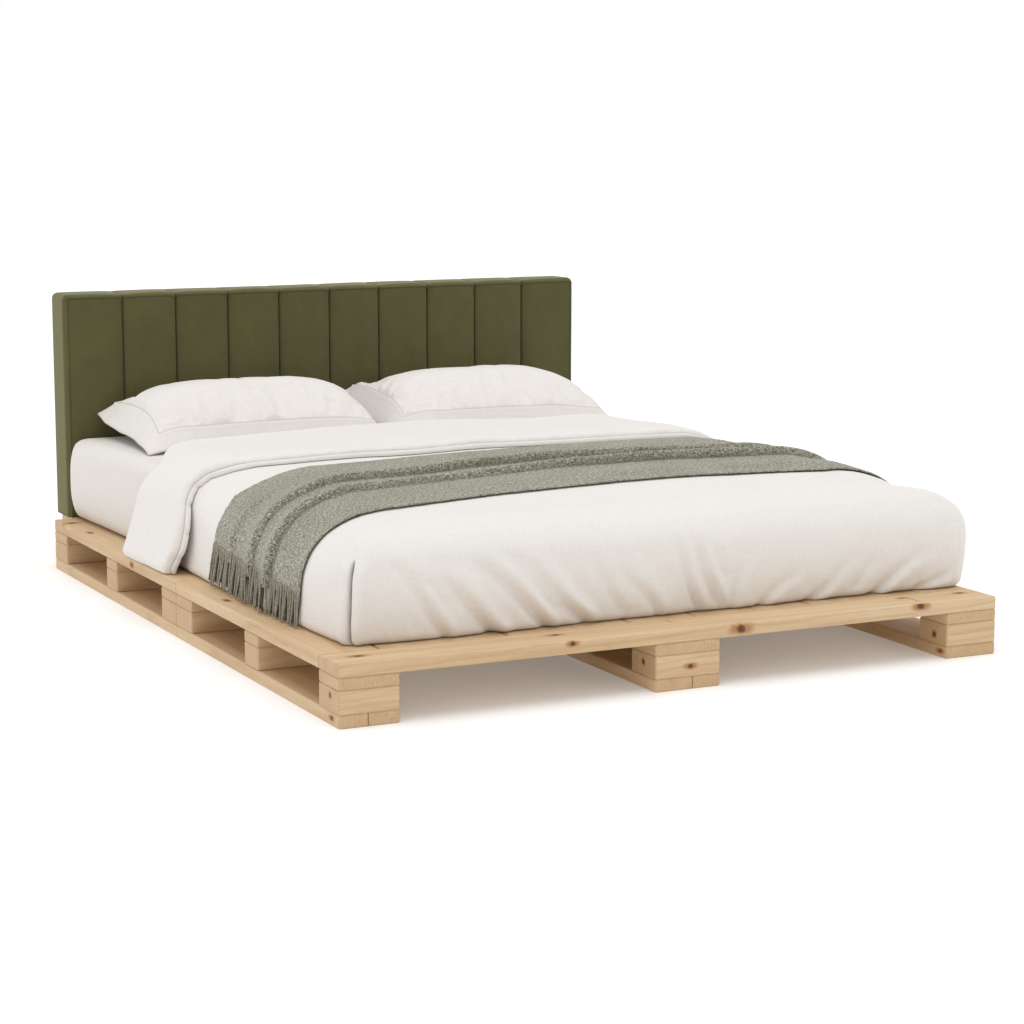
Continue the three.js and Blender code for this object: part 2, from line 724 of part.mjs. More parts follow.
function headboardPad() {
  const low = [-headboardWidth / 2, headboardFrontY, headboardBottom];
  const high = [headboardWidth / 2, headboardBackY, headboardTop];
  const radii = new THREE.Vector3(padEdgeRadius, padEdgeRadius, padEdgeRadius);
  const flatLow = low[0] + padEdgeRadius;
  const flatHigh = high[0] - padEdgeRadius;
  const edges = channelEdges();
  const inside = [];
  for (let i = 0; i < channelCount; i += 1) {
    for (const share of channelShares) {
      const x = mix(edges[i], edges[i + 1], share);
      if (x > flatLow + overrun && x < flatHigh - overrun) {
        inside.push(x);
      }
    }
  }
  const lowArc = arcShares.map((share) => low[0] + padEdgeRadius * (1 - share)).reverse();
  const highArc = arcShares.map((share) => high[0] - padEdgeRadius * (1 - share));
  const form = stationedForm(
    [...lowArc, ...inside, ...highArc],
    stationsAcross(low[1], high[1], padEdgeRadius, 0, []),
    stationsAcross(low[2], high[2], 0, padEdgeRadius, evenShares(1)),
    (point) => {
      const { place, out } = roundOver(
        point, low, high, radii, [true, true, false], [true, false, true]);
      const backShare = (place.y - headboardFrontY) / headboardDepth;
      const depth = mix(channelDepth, channelBackDepth, Math.sqrt(backShare));
      const facing = Math.max(Math.abs(out.y), out.z);
      return place.addScaledVector(out, -depth * channelFallAt(place.x) * facing);
    });
  const room = boxSolid(
    [-coreHalfWidth - upholsteryGap, coreFrontY - upholsteryGap, headboardBottom - overrun],
    [coreHalfWidth + upholsteryGap, headboardBackY + overrun, coreTop + upholsteryGap]);
  return toSolid(form).subtract(room);
}

// The hollow frame behind the ply, with a middle stud and a slot for each post in its bottom rail
function headboardCore() {
  let core = boxSolid([-coreHalfWidth, coreFrontY, headboardBottom], [coreHalfWidth, coreBackY, coreTop]);
  for (const side of [-1, 1]) {
    const reach = [side * frameStudWidth / 2, side * hollowHalfWidth].sort((a, b) => a - b);
    core = core.subtract(boxSolid(
      [reach[0], plyBackY, headboardBottom + frameRailWidth],
      [reach[1], coreBackY + overrun, coreTop - frameRailWidth]));
    const slot = [
      side * (hollowHalfWidth - postTopWidth - 2 * postClearance),
      side * hollowHalfWidth,
    ].sort((a, b) => a - b);
    core = core.subtract(boxSolid(
      [slot[0], plyBackY, headboardBottom - overrun],
      [slot[1], coreBackY + overrun, headboardBottom + frameRailWidth + overrun]));
  }
  return core;
}

// A post: a square foot behind the base, whose shoulder carries the frame, and a thinner upper part
function headboardPost(side) {
  const innerX = side * (hollowHalfWidth - postClearance - postTopWidth);
  const upperX = [innerX, innerX + side * postTopWidth].sort((a, b) => a - b);
  const footX = [innerX, innerX + side * postFootWidth].sort((a, b) => a - b);
  const upperFrontY = plyBackY + postClearance;
  const foot = boxSolid(
    [footX[0], deckHeadY, 0],
    [footX[1], deckHeadY + postFootWidth, headboardBottom]);
  const upper = boxSolid(
    [upperX[0], upperFrontY, headboardBottom - overrun],
    [upperX[1], upperFrontY + postTopDepth, headboardBottom + postRise]);
  return foot.add(upper);
}

function makeHeadboard() {
  const headboard = new THREE.Group();
  addPart(headboard, 'headboard_post_left', toGeometry(headboardPost(-1)), pine);
  addPart(headboard, 'headboard_post_right', toGeometry(headboardPost(1)), pine);
  addPart(headboard, 'headboard_frame', toGeometry(headboardCore()), frameTimber);
  addPart(headboard, 'headboard_pad', toGeometry(headboardPad()), oliveCloth);
  const cloth = boxSolid(
    [-coreHalfWidth, coreBackY, headboardBottom],
    [coreHalfWidth, headboardBackY, coreTop]);
  addPart(headboard, 'headboard_back_cloth', toGeometry(cloth), liningCloth);
  return headboard;
}

function makeBedding() {
  const bedding = new THREE.Group();
  addPart(bedding, 'mattress', mattressForm(0, false), sheetCloth);
  const duvet = duvetForm(0).subtract(toSolid(mattressForm(beddingGap, true)));
  addPart(bedding, 'duvet', toGeometry(duvet), duvetCloth);
  addPart(bedding, 'throw', toGeometry(throwSolid()), throwWool);
  const pillowMiddleX = (pillowWidth + pillowGap) / 2;
  addPart(bedding, 'pillow_left', makePillowForm(-pillowMiddleX), sheetCloth);
  addPart(bedding, 'pillow_right', makePillowForm(pillowMiddleX), sheetCloth);
  return bedding;
}

const group = new THREE.Group();
for (const moduleName of moduleNames) {
  group.add(makeModule(moduleName));
}
group.add(makeHeadboard());
group.add(makeBedding());

export default group;
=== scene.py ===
import math

import bmesh
import bpy
import numpy as np
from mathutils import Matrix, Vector


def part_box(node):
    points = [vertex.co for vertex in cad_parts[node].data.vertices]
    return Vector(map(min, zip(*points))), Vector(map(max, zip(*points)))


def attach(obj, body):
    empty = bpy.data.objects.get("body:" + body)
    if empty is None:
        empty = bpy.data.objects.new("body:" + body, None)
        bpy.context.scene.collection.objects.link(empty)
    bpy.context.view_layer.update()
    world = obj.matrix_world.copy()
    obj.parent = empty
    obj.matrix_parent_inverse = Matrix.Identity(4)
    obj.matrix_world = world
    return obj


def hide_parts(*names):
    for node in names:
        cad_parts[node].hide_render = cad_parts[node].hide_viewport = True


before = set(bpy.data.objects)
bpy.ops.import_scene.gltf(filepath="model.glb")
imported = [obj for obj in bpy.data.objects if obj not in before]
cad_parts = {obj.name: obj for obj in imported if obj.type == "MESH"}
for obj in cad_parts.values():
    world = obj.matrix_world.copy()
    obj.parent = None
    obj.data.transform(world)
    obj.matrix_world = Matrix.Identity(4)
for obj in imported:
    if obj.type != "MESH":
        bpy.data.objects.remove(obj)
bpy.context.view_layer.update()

# A pine pallet bed, made up. Lengths are in metres, in the frame of the solids:
# X runs across the bed, Y from foot to head and Z up, from the floor under its middle.

MM = 0.001

# The bedding's sizes, as in the solids
DECK_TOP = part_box("foot_end_board")[1].z
BEDDING_GAP = 0.4 * MM
MATTRESS_LENGTH = 2000 * MM
MATTRESS_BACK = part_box("mattress")[1].y
MATTRESS_FRONT = MATTRESS_BACK - MATTRESS_LENGTH
MATTRESS_TOP = DECK_TOP + 236 * MM
MATTRESS_HALF = 801 * MM
MATTRESS_CROWN = 8 * MM
FOOT_SHIFT = 35 * MM
HEAD_SHIFT = -8 * MM

DUVET_SIDE = 13 * MM
DUVET_HALF = MATTRESS_HALF + BEDDING_GAP + DUVET_SIDE
DUVET_FRONT = MATTRESS_FRONT - BEDDING_GAP - DUVET_SIDE
DUVET_TOP = MATTRESS_TOP + BEDDING_GAP + 16 * MM
DUVET_BOTTOM = DECK_TOP + BEDDING_GAP
DUVET_HEAD = 538 * MM
OVERLAP = 40 * MM
FILLING = 10 * MM
BAND_FOOT = 45 * MM
SHOULDER = 200 * MM
SHOULDER_DROP = 165 * MM
FRONT_ROUND = 100 * MM
HEM_ROUND = 20 * MM

# How the duvet's shoulders change along it: distances from its foot, with the rounding across and down there
ALONG = (0, 0.13, 0.22, 0.3, 0.87, 1.0, 1.06, 1.6)
LEFT_ACROSS = (0.085, 0.15, 0.18, 0.20, 0.28, 0.20, 0.13, 0.125)
LEFT_DOWN = (0.068, 0.122, 0.146, 0.165, 0.165, 0.13, 0.10, 0.10)
RIGHT_ACROSS = (0.20, 0.34, 0.22, 0.19, 0.20, 0.20, 0.20, 0.20)
RIGHT_DOWN = (0.10, 0.17, 0.145, 0.14, 0.15, 0.15, 0.15, 0.15)

# Loft of its top at distances from the foot
LOFT_ALONG = (0, 0.2, 0.5, 0.87, 1.05, 1.6)
LOFT = (0.009, 0.010, 0.015, 0.019, 0.011, 0.008)

# How far the left hem stands out at distances from the foot, and how steeply that side leans in above it
HEM_ALONG = (0, 0.03, 0.25, 0.6, 0.87, 1.1, 1.6)
HEM_OUT = (0.010, 0.019, 0.0245, 0.022, 0.015, 0.010, 0.008)
LEAN_IN = (0.05, 0.05, 0.09, 0.13, 0.17, 0.08, 0.065)

# The throw, with Y of its two edges at places across the bed
THROW_WIDTH = 635 * MM
THROW_ACROSS = (-0.814, -0.66, -0.45, -0.3, -0.1, 0.05, 0.3, 0.45, 0.6, 0.75, 0.814)
THROW_FOOT = (-0.746, -0.764, -0.722, -0.692, -0.664, -0.652, -0.664, -0.682, -0.718, -0.745, -0.735)
THROW_HEAD = (-0.098, -0.112, -0.108, -0.098, -0.082, -0.064, -0.026, -0.015, -0.008, -0.004, -0.002)
THROW_HEM = 248 * MM
THROW_DROP = 26 * MM
THROW_THICK = 5 * MM

PILLOW_WIDTH = 734 * MM
PILLOW_DEPTH = 462 * MM
PILLOW_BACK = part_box("pillow_left")[1].y
PILLOW_MIDDLE = (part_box("pillow_left")[0].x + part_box("pillow_left")[1].x) / 2
FLANGE = 42 * MM

# Height of a pillow's edge over the mattress at shares of its depth, from -1 at the front to 1 at the headboard
PILLOW_EDGE_ALONG = (-1, -0.35, 0.28, 0.8, 1)
PILLOW_EDGE = (0.009, 0.025, 0.034, 0.043, 0.060)


def mix(low, high, share):
    """Straight from low at share 0 to high at share 1."""
    return low + (high - low) * share


def clamp(share):
    """The share, held between 0 and 1."""
    return np.clip(share, 0, 1)


def ease(share):
    """From 0 to 1 with level ends: 3 s squared less 2 s cubed."""
    s = clamp(share)
    return s * s * (3 - 2 * s)


def bell(distance, width):
    """A Gaussian: 1 at distance 0, about a third at one width."""
    return np.exp(-((distance / width) ** 2))


def unit(vectors):
    """The vectors at length 1."""
    return vectors / np.maximum(np.linalg.norm(vectors, axis=-1, keepdims=True), 1e-9)


def vec(*parts):
    """Arrays or numbers side by side as the last axis of one array."""
    return np.stack(np.broadcast_arrays(*parts), axis=-1)


# Noise


def lattice_value(cell, seed):
    """A fixed number from 0 to 1 for each whole-number cell, by multiplying and folding bits."""
    mixed = cell[..., 0] * 374761393 + cell[..., 1] * 668265263 + cell[..., 2] * 1440662683 + seed * 974634777
    mixed = (mixed ^ (mixed >> 13)) * 1274126177
    mixed = mixed ^ (mixed >> 16)
    return (mixed & 0xFFFF) / 65535


def noise(points, size, seed=0):
    """Value noise from -1 to 1: each point blends the values of its cell's eight corners by ease curves."""
    scaled = points / size
    cell = np.floor(scaled).astype(np.int64)
    share = ease(scaled - cell)
    total = np.zeros(points.shape[:-1])
    for corner in np.ndindex(2, 2, 2):
        weight = np.prod(np.where(corner, share, 1 - share), axis=-1)
        total += weight * lattice_value(cell + np.array(corner), seed)
    return 2 * total - 1


def swells(points, height, size, seed):
    """The noise as a surface's height, with its height and its size in millimetres."""
    return height * MM * noise(points, size * MM, seed)


# Meshes from arrays

# How much further round the last column of a closed ring's UV lies, and how near points are welded
RING_UV_STEP = 1 * MM
WELD = 0.01 * MM


def mesh_object(name, points, quads, uv=None, crease=None):
    """An object from vertex places, quads of vertex numbers and, if given, one UV pair for each quad corner and one
    share of painted shade for each vertex, kept as its crease attribute, by which a finish paints shade into seams,
    slits, fold troughs, the duvet's hem and the fringe's hidden strands."""
    mesh = bpy.data.meshes.new(name)
    mesh.from_pydata(points.tolist(), [], quads.tolist(), shade_flat=False)
    if uv is not None:
        layer = mesh.uv_layers.new(name="cloth")
        layer.data.foreach_set("uv", np.ascontiguousarray(uv, np.float32).ravel())
    if crease is not None:
        # The crease attribute holds painted shade for the finish.
        marks = mesh.attributes.new("crease", "FLOAT", "POINT")
        marks.data.foreach_set("value", clamp(crease).astype(np.float32).ravel())
    mesh.validate()
    obj = bpy.data.objects.new(name, mesh)
    bpy.context.scene.collection.objects.link(obj)
    return obj


def dress(obj, material):
    """Gives the object this material alone."""
    obj.data.materials.clear()
    obj.data.materials.append(material)


def grid_quads(count_u, count_v, wrap_v=False):
    """The quads of a grid whose vertex number is u times count_v plus v, with the way out along u cross v."""
    u, v = np.indices((count_u - 1, count_v - (not wrap_v)))
    row, next_row, next_v = u * count_v, (u + 1) * count_v, (v + 1) % count_v
    return vec(row + v, next_row + v, next_row + next_v, row + next_v).reshape(-1, 4)


def swept(name, rings, uv, crease):
    """A closed surface through rings of points, shaped (ring, point, 3), each ring joined round to its first
    point. A cap shrinks the end ring to its middle in one more ring."""
    middles = rings[[0, -1]].mean(axis=1, keepdims=True)
    caps = np.broadcast_to(middles, (2,) + rings.shape[1:])
    rings = np.concatenate([caps[:1], rings, caps[1:]])
    uv, crease = (np.concatenate([part[:1], part, part[-1:]]) for part in (uv, crease))
    count_u, count_v = rings.shape[:2]
    closed_uv = np.concatenate([uv, uv[:, :1] + [0, RING_UV_STEP]], axis=1)
    corner_uv = closed_uv.reshape(-1, 2)[grid_quads(count_u, count_v + 1)]
    obj = mesh_object(name, rings.reshape(-1, 3), grid_quads(count_u, count_v, wrap_v=True), corner_uv, crease)
    reshape(obj, lambda shape: bmesh.ops.remove_doubles(shape, verts=shape.verts, dist=WELD))
    return obj


def reshape(obj, change):
    """Runs a change on the object's mesh while it is open for editing."""
    shape = bmesh.new()
    shape.from_mesh(obj.data)
    change(shape)
    shape.to_mesh(obj.data)
    shape.free()


def close_holes(shape):
    """Closes the open ends of tubes with one face each and points every face outwards."""
    bmesh.ops.holes_fill(shape, edges=[edge for edge in shape.edges if edge.is_boundary], sides=0)
    bmesh.ops.recalc_face_normals(shape, faces=shape.faces)


def box_skin(lines, skip=()):
    """The skin of a box with lines of vertices at the given places along X, Y and Z. Every face is a grid of
    whole numbers, and corners with the same three numbers are one vertex. Skipped faces are named by axis and
    side. Gives places, quads, the place of every quad corner and the axis that each quad faces."""
    counts = [len(line) - 1 for line in lines]
    faces, axes = [], []
    for axis in range(3):
        u, v = (axis + 1) % 3, (axis + 2) % 3
        for side in (0, 1):
            if (axis, side) in skip:
                continue
            shape = (counts[u] + 1, counts[v] + 1)
            index = np.full(shape + (3,), side * counts[axis])
            index[..., u], index[..., v] = np.indices(shape)
            quads = np.stack([index[:-1, :-1], index[1:, :-1], index[1:, 1:], index[:-1, 1:]], axis=2)
            quads = quads.reshape(-1, 4, 3)
            faces.append(quads if side else quads[:, ::-1])
            axes.append(np.full(len(quads), axis))
    corners = np.concatenate(faces)
    keys = (corners[..., 0] * (counts[1] + 1) + corners[..., 1]) * (counts[2] + 1) + corners[..., 2]
    unique, first, inverse = np.unique(keys.ravel(), return_index=True, return_inverse=True)
    corner_places = vec(*(lines[axis][corners[..., axis]] for axis in range(3)))
    places = corner_places.reshape(-1, 3)[first]
    return places, inverse.reshape(-1, 4), corner_places, np.concatenate(axes)


def stations(low, high, round_low, round_high, pitch):
    """Places from low to high, in even steps between two roundings. Within a rounding they follow the tangents
    of equal angles, so that equal angles come out on the rounded edge."""

    def rounding(radius):
        steps = max(2, round(radius * math.pi / 4 / pitch))
        return radius * (1 - np.tan(np.linspace(math.pi / 4, 0, steps + 1))[:-1])

    flat_low, flat_high = low + round_low, high - round_high
    parts = [np.linspace(flat_low, flat_high, max(2, round((flat_high - flat_low) / pitch) + 1))]
    if round_low:
        parts.insert(0, low + rounding(round_low))
    if round_high:
        parts.append(high - rounding(round_high)[::-1])
    return np.concatenate(parts)


def round_over(points, low, high, radii_low, radii_high):
    """Rounds points of a box over its edges: each is pulled on to an ellipsoid round the nearest point of the
    box less its radii. An end with radius 0 stays square. Gives places and ways out."""
    low, high = np.asarray(low, float), np.asarray(high, float)
    radii_low, radii_high = np.asarray(radii_low, float), np.asarray(radii_high, float)
    least = np.where(radii_low > 0, low + radii_low, -np.inf)
    most = np.where(radii_high > 0, high - radii_high, np.inf)
    kernel = np.clip(points, least, most)
    offset = points - kernel
    radii = np.where(offset < 0, radii_low, radii_high)
    radii = np.where(radii > 0, radii, 1)
    scaled = offset / radii
    length = np.linalg.norm(scaled, axis=-1, keepdims=True)
    scaled = scaled / np.where(length > 0, length, 1)
    return kernel + scaled * radii, unit(scaled / radii)


def skin_uv(corner_places, axes, half, front, top):
    """UV in metres for cloth over a box: the top is laid flat, the sides and the front are folded up level."""
    x, y, z = corner_places[..., 0], corner_places[..., 1], corner_places[..., 2]
    down = top - z
    axis = axes[:, None]
    u = np.where(axis == 0, np.sign(x) * (half + down), x)
    v = np.where((axis == 1) & (y < 0), front - down, y)
    return vec(u, v)


# Finishes


class Shade:
    """One material on a Principled shader, with short ways to add nodes to it."""

    def __init__(self, name):
        self.material = bpy.data.materials.new(name)
        self.material.use_nodes = True
        self.nodes, self.links = self.material.node_tree.nodes, self.material.node_tree.links
        self.nodes.clear()
        output = self.node("OutputMaterial")
        self.shader = self.node("BsdfPrincipled")
        self.links.new(self.shader.outputs["BSDF"], output.inputs["Surface"])
        coordinates = self.node("TexCoord").outputs
        self.place, self.flat, self.facing = coordinates["Object"], coordinates["UV"], coordinates["Normal"]

    def node(self, kind, inputs=(), **settings):
        made = self.nodes.new("ShaderNode" + kind)
        for key, value in settings.items():
            setattr(made, key, value)
        for key, value in dict(inputs).items():
            self.feed(made.inputs[key], value)
        return made

    def feed(self, socket, value):
        """Links another socket to this one, or sets its value. A colour may leave out its fourth number."""
        if isinstance(value, bpy.types.NodeSocket):
            self.links.new(value, socket)
        elif socket.type == "RGBA" and len(value) == 3:
            socket.default_value = (*value, 1.0)
        else:
            socket.default_value = value

    def stretched(self, vector, *scale):
        return self.node("Mapping", {"Vector": vector, "Scale": scale}).outputs["Vector"]

    def vector(self, operation, a, b):
        return self.node("VectorMath", {0: a, 1: b}, operation=operation).outputs["Vector"]

    def noise(self, vector, scale, detail=4.0, rough=0.55):
        inputs = {"Vector": vector, "Scale": scale, "Detail": detail, "Roughness": rough}
        return self.node("TexNoise", inputs).outputs["Fac"]

    def wave(self, vector, direction, scale, distortion, detail):
        inputs = {"Vector": vector, "Scale": scale, "Distortion": distortion, "Detail": detail}
        return self.node("TexWave", inputs, bands_direction=direction).outputs["Fac"]

    def ramp(self, value, *stops):
        """A colour for each value, between stops of a place and a colour. A single number is a grey."""
        made = self.node("ValToRGB", {"Fac": value})
        elements = made.color_ramp.elements
        while len(elements) < len(stops):
            elements.new(1.0)
        for element, (place, colour) in zip(elements, stops):
            element.position = place
            element.color = (*np.broadcast_to(colour, 3).astype(float), 1.0)
        return made.outputs["Color"]

    def math(self, operation, a, b=0.0, clamp=False):
        return self.node("Math", {0: a, 1: b}, operation=operation, use_clamp=clamp).outputs["Value"]

    def times(self, a, b):
        return self.math("MULTIPLY", a, b)

    def plus(self, a, b):
        return self.math("ADD", a, b)

    def blend(self, share, a, b):
        return self.node("Mix", {0: share, 6: a, 7: b}, data_type="RGBA").outputs[2]

    def bump(self, height, strength, distance):
        return self.node("Bump", {"Height": height, "Strength": strength, "Distance": distance}).outputs["Normal"]

    def finish(self, **inputs):
        """Sets the shader's own inputs, whose spaces are written as underscores, and gives the material."""
        for key, value in inputs.items():
            self.feed(self.shader.inputs[key.replace("_", " ")], value)
        return self.material

    def cloth(self, colour, dark, share, normal, **inputs):
        """Finishes a cloth, whose colour goes a share of the way to dark as painted shade where the piece's crease
        attribute marks seams, slits, fold troughs and hidden strands.
        """
        # Painted shade: the colour darkens towards dark by the crease attribute.
        crease_painted_shade = self.node("Attribute", attribute_name="crease").outputs["Fac"]
        colour = self.blend(self.math("MULTIPLY", crease_painted_shade, share, clamp=True), colour, dark)
        return self.finish(Base_Color=colour, Normal=normal, **inputs)


def spot_nearness(s, centre, radii):
    """How near each point is to one centre: 1 at the centre and 0 from one radius on, along each axis."""
    scaled = s.vector("MULTIPLY", s.vector("SUBTRACT", s.place, centre), [1 / radius for radius in radii])
    length = s.node("VectorMath", {0: scaled}, operation="LENGTH").outputs["Value"]
    return s.math("SUBTRACT", 1.0, length, clamp=True)


# A pine's growth rings to the metre, and the share by which its grain runs out of the board
RINGS = 105.0
RUN_OUT = 0.03

# Reach of the warm ring round a knot and of its dark core, in knot radii along the grain and across it
KNOT_HALO = (4.5, 1.9)
KNOT_CORE = (1.35, 1)
KNOT_WARM = (0.37, 0.145, 0.035)
KNOT_DARK = (0.065, 0.02, 0.005)
CHECK_DARK = (0.13, 0.065, 0.028)


def pine(name, grain_axis, pale, warm, dark, knots=(), checks=(), pith=(0.31, -0.42)):
    """Planed pine. Growth rings are sheets round a pith line beside the board, drawn out along the grain and
    bent by noise, over long soft streaks and short flecks. Knots are dark cores with a warm ring, round which
    the grain swerves. A check is a thin dark line. End grain is darker, with pores."""
    s = Shade(name)
    axis = "XYZ".index(grain_axis)

    def along_across(along, across):
        triple = [across] * 3
        triple[axis] = along
        return triple

    def drawn(along, across):
        return s.stretched(s.place, *along_across(along, across))

    # Growth rings
    bend = s.node("TexNoise", {"Vector": drawn(1.6, 6.0), "Scale": 1.0, "Detail": 3.0}).outputs["Color"]
    bent = s.vector("SUBTRACT", bend, (0.5, 0.5, 0.5))
    bent = s.node("VectorMath", {0: bent, "Scale": 0.03}, operation="SCALE").outputs["Vector"]
    split = s.node("SeparateXYZ", {0: s.vector("ADD", drawn(0.5, 1.0), bent)}).outputs
    first, second = (s.plus(split[letter], shift) for letter, shift in zip("XYZ".replace(grain_axis, ""), pith))
    distance = s.math("SQRT", s.plus(s.times(first, first), s.times(second, second)))
    distance = s.plus(distance, s.times(split[grain_axis], RUN_OUT))
    core, halo = None, None
    for centre, size in knots:
        near = spot_nearness(s, centre, along_across(size * KNOT_HALO[0], size * KNOT_HALO[1]))
        distance = s.plus(distance, s.times(s.math("POWER", near, 2.0), size * 1.3))
        spot = spot_nearness(s, centre, along_across(size * KNOT_CORE[0], size * KNOT_CORE[1]))
        core = spot if core is None else s.math("MAXIMUM", core, spot)
        halo = near if halo is None else s.math("MAXIMUM", halo, near)
    rings = s.math("FRACT", s.times(distance, RINGS))
    late = s.ramp(rings, (0.0, 0), (0.5, 0.15), (0.85, 1), (0.96, 0.3), (1.0, 0))

    # Streaks, rings, flecks and fibre over one another
    streaks = s.ramp(s.noise(drawn(1.5, 34.0), 1.0, 5.0, 0.62), (0.34, 0), (0.68, 1))
    fibre = s.noise(drawn(11.0, 420.0), 1.0, 3.0, 0.6)
    flecks = s.ramp(s.noise(drawn(26.0, 300.0), 1.0, 2.0, 0.5), (0.6, 0), (0.72, 1))
    cloud = s.noise(s.place, 3.4, 3.0)
    colour = s.blend(streaks, pale, warm)
    colour = s.blend(s.times(late, s.plus(s.times(cloud, 0.42), 0.03)), colour, dark)
    colour = s.blend(s.times(flecks, 0.28), colour, dark)
    colour = s.blend(s.times(fibre, 0.24), colour, [0.72 * part for part in warm])

    # End grain
    facing = s.node("SeparateXYZ", {0: s.facing}).outputs[grain_axis]
    end_grain = s.math("GREATER_THAN", s.math("ABSOLUTE", facing), 0.7)
    pores = s.ramp(s.noise(drawn(1.0, 210.0), 1.0, 2.0, 0.6), (0.42, 0), (0.66, 1))
    end_tone = s.blend(s.times(pores, 0.5), [0.94 * part for part in warm], [0.9 * part for part in dark])
    colour = s.blend(s.times(end_grain, 0.55), colour, end_tone)

    # Knots and checks
    if core is not None:
        ragged = s.times(s.math("SUBTRACT", s.noise(s.place, 110.0, 3.0), 0.5), 0.6)
        warm_ring = s.ramp(s.plus(halo, s.times(ragged, 0.5)), (0.28, 0), (0.62, 1))
        colour = s.blend(s.times(warm_ring, 0.78), colour, KNOT_WARM)
        tone = s.ramp(s.plus(core, ragged), (0.12, 0), (0.4, 0.75), (0.75, 1))
        inside = s.times(tone, s.math("GREATER_THAN", core, 0.001))
        colour = s.blend(s.times(inside, 0.9), colour, KNOT_DARK)
    for centre, size in checks:
        line = s.math("GREATER_THAN", spot_nearness(s, centre, size), 0.05)
        colour = s.blend(s.times(line, 0.75), colour, CHECK_DARK)
    normal = s.bump(s.plus(s.times(fibre, 0.5), s.times(late, 0.3)), 0.22, 0.6 * MM)
    return s.finish(Base_Color=colour, Roughness=s.plus(s.times(fibre, 0.12), 0.52), Normal=normal, IOR=1.45)


def cotton(name, light, shade):
    """Washed cotton: a plain weave of two thread directions in the cloth's own UV, slubs and a soft sheen."""
    s = Shade(name)
    warp = s.wave(s.stretched(s.flat, 1, 0.02, 1), "X", 310.0, 1.4, 2.0)
    weft = s.wave(s.stretched(s.flat, 0.02, 1, 1), "Y", 310.0, 1.4, 2.0)
    slub_long = s.noise(s.stretched(s.flat, 330, 26, 1), 1.0, 3.0, 0.6)
    slub_cross = s.noise(s.stretched(s.flat, 26, 330, 1), 1.0, 3.0, 0.6)
    slubs = s.times(s.plus(slub_long, slub_cross), 0.5)
    tone = s.ramp(slubs, (0.26, shade), (0.62, light))
    colour = s.blend(s.times(s.noise(s.place, 5.0, 3.0), 0.25), tone, shade)
    weave = s.bump(s.plus(s.times(warp, weft), s.times(slubs, 1.4)), 0.13, 0.7 * MM)
    # The dark colour is painted shade where the crease attribute marks the duvet's slit, hem foot and band groove,
    # and the pillows' seams.
    return s.cloth(colour, (0.045, 0.034, 0.024), 1.0, weave, Roughness=0.86, Sheen_Weight=0.22, Sheen_Roughness=0.45)


def wool(name):
    """Heathered, loosely woven wool in the throw's own UV: short light and dark dashes along both threads, with
    a lumpy, fuzzy relief."""
    s = Shade(name)
    warp, weft = (s.noise(s.stretched(s.flat, *scale, 1), 1.0, 1.0, 0.5) for scale in ((300, 95), (90, 310)))
    lumps = s.noise(s.place, 240.0, 3.0, 0.6)
    threads = s.plus(s.times(warp, 0.5), s.times(weft, 0.5))
    value = s.plus(s.times(threads, 0.72), s.times(lumps, 0.28))
    cloud = s.math("SUBTRACT", s.noise(s.place, 9.0, 3.0), 0.5)
    colour = s.ramp(
        s.plus(value, s.times(cloud, 0.08)),
        (0.36, (0.04, 0.037, 0.024)), (0.46, (0.19, 0.18, 0.126)),
        (0.54, (0.34, 0.325, 0.245)), (0.64, (0.62, 0.6, 0.49)))
    fuzz = s.bump(s.plus(threads, lumps), 0.6, 3.5 * MM)
    # The dark colour is painted shade in the troughs of the folds.
    return s.cloth(colour, (0.022, 0.02, 0.012), 0.8, fuzz, Roughness=0.95, Sheen_Weight=0.25, Sheen_Roughness=0.6)


def fringe_wool(name):
    """Spun strands: the throw's wool with slanting plies along each strand's own UV."""
    s = Shade(name)
    slant = s.node("Mapping", {"Vector": s.flat, "Rotation": (0, 0, 0.9)}).outputs["Vector"]
    plies = s.wave(slant, "X", 190.0, 1.5, 1.0)
    value = s.plus(s.times(plies, 0.35), s.times(s.noise(s.place, 160.0, 3.0, 0.6), 0.65))
    colour = s.ramp(value, (0.25, (0.13, 0.117, 0.08)), (0.52, (0.29, 0.27, 0.195)), (0.8, (0.52, 0.49, 0.38)))
    twisted = s.bump(plies, 0.5, 1.2 * MM)
    # The dark colour is painted shade on the strands behind.
    return s.cloth(colour, (0.018, 0.014, 0.008), 1.0, twisted, Roughness=0.95, Sheen_Weight=0.3, Sheen_Roughness=0.6)


def olive_velvet(name):
    """Short-pile upholstery cloth: olive with a mottled pile, a fine grain and a sheen at grazing angles."""
    s = Shade(name)
    brushed = s.noise(s.stretched(s.place, 26, 26, 14), 1.0, 4.0, 0.6)
    grain = s.noise(s.place, 620.0, 3.0, 0.7)
    value = s.plus(s.times(s.noise(s.place, 7.0, 4.0, 0.6), 0.55), s.times(brushed, 0.45))
    colour = s.ramp(value, (0.3, (0.080, 0.076, 0.0235)), (0.7, (0.112, 0.105, 0.033)))
    colour = s.blend(s.times(grain, 0.35), colour, (0.047, 0.044, 0.014))
    # The dark colour is painted shade along the headboard's seams and beside its piping.
    return s.cloth(colour, (0.008, 0.008, 0.003), 0.85, s.bump(grain, 0.35, 0.9 * MM), Roughness=0.9,
                   Sheen_Weight=0.5, Sheen_Roughness=0.42, Sheen_Tint=(0.66, 0.61, 0.36))


# The bedding's common surface


def bedding_shift(y):
    """How far the bedding lies to the right at a place along the bed: a straight line between two shifts."""
    return mix(FOOT_SHIFT, HEAD_SHIFT, clamp((y - MATTRESS_FRONT) / MATTRESS_LENGTH))


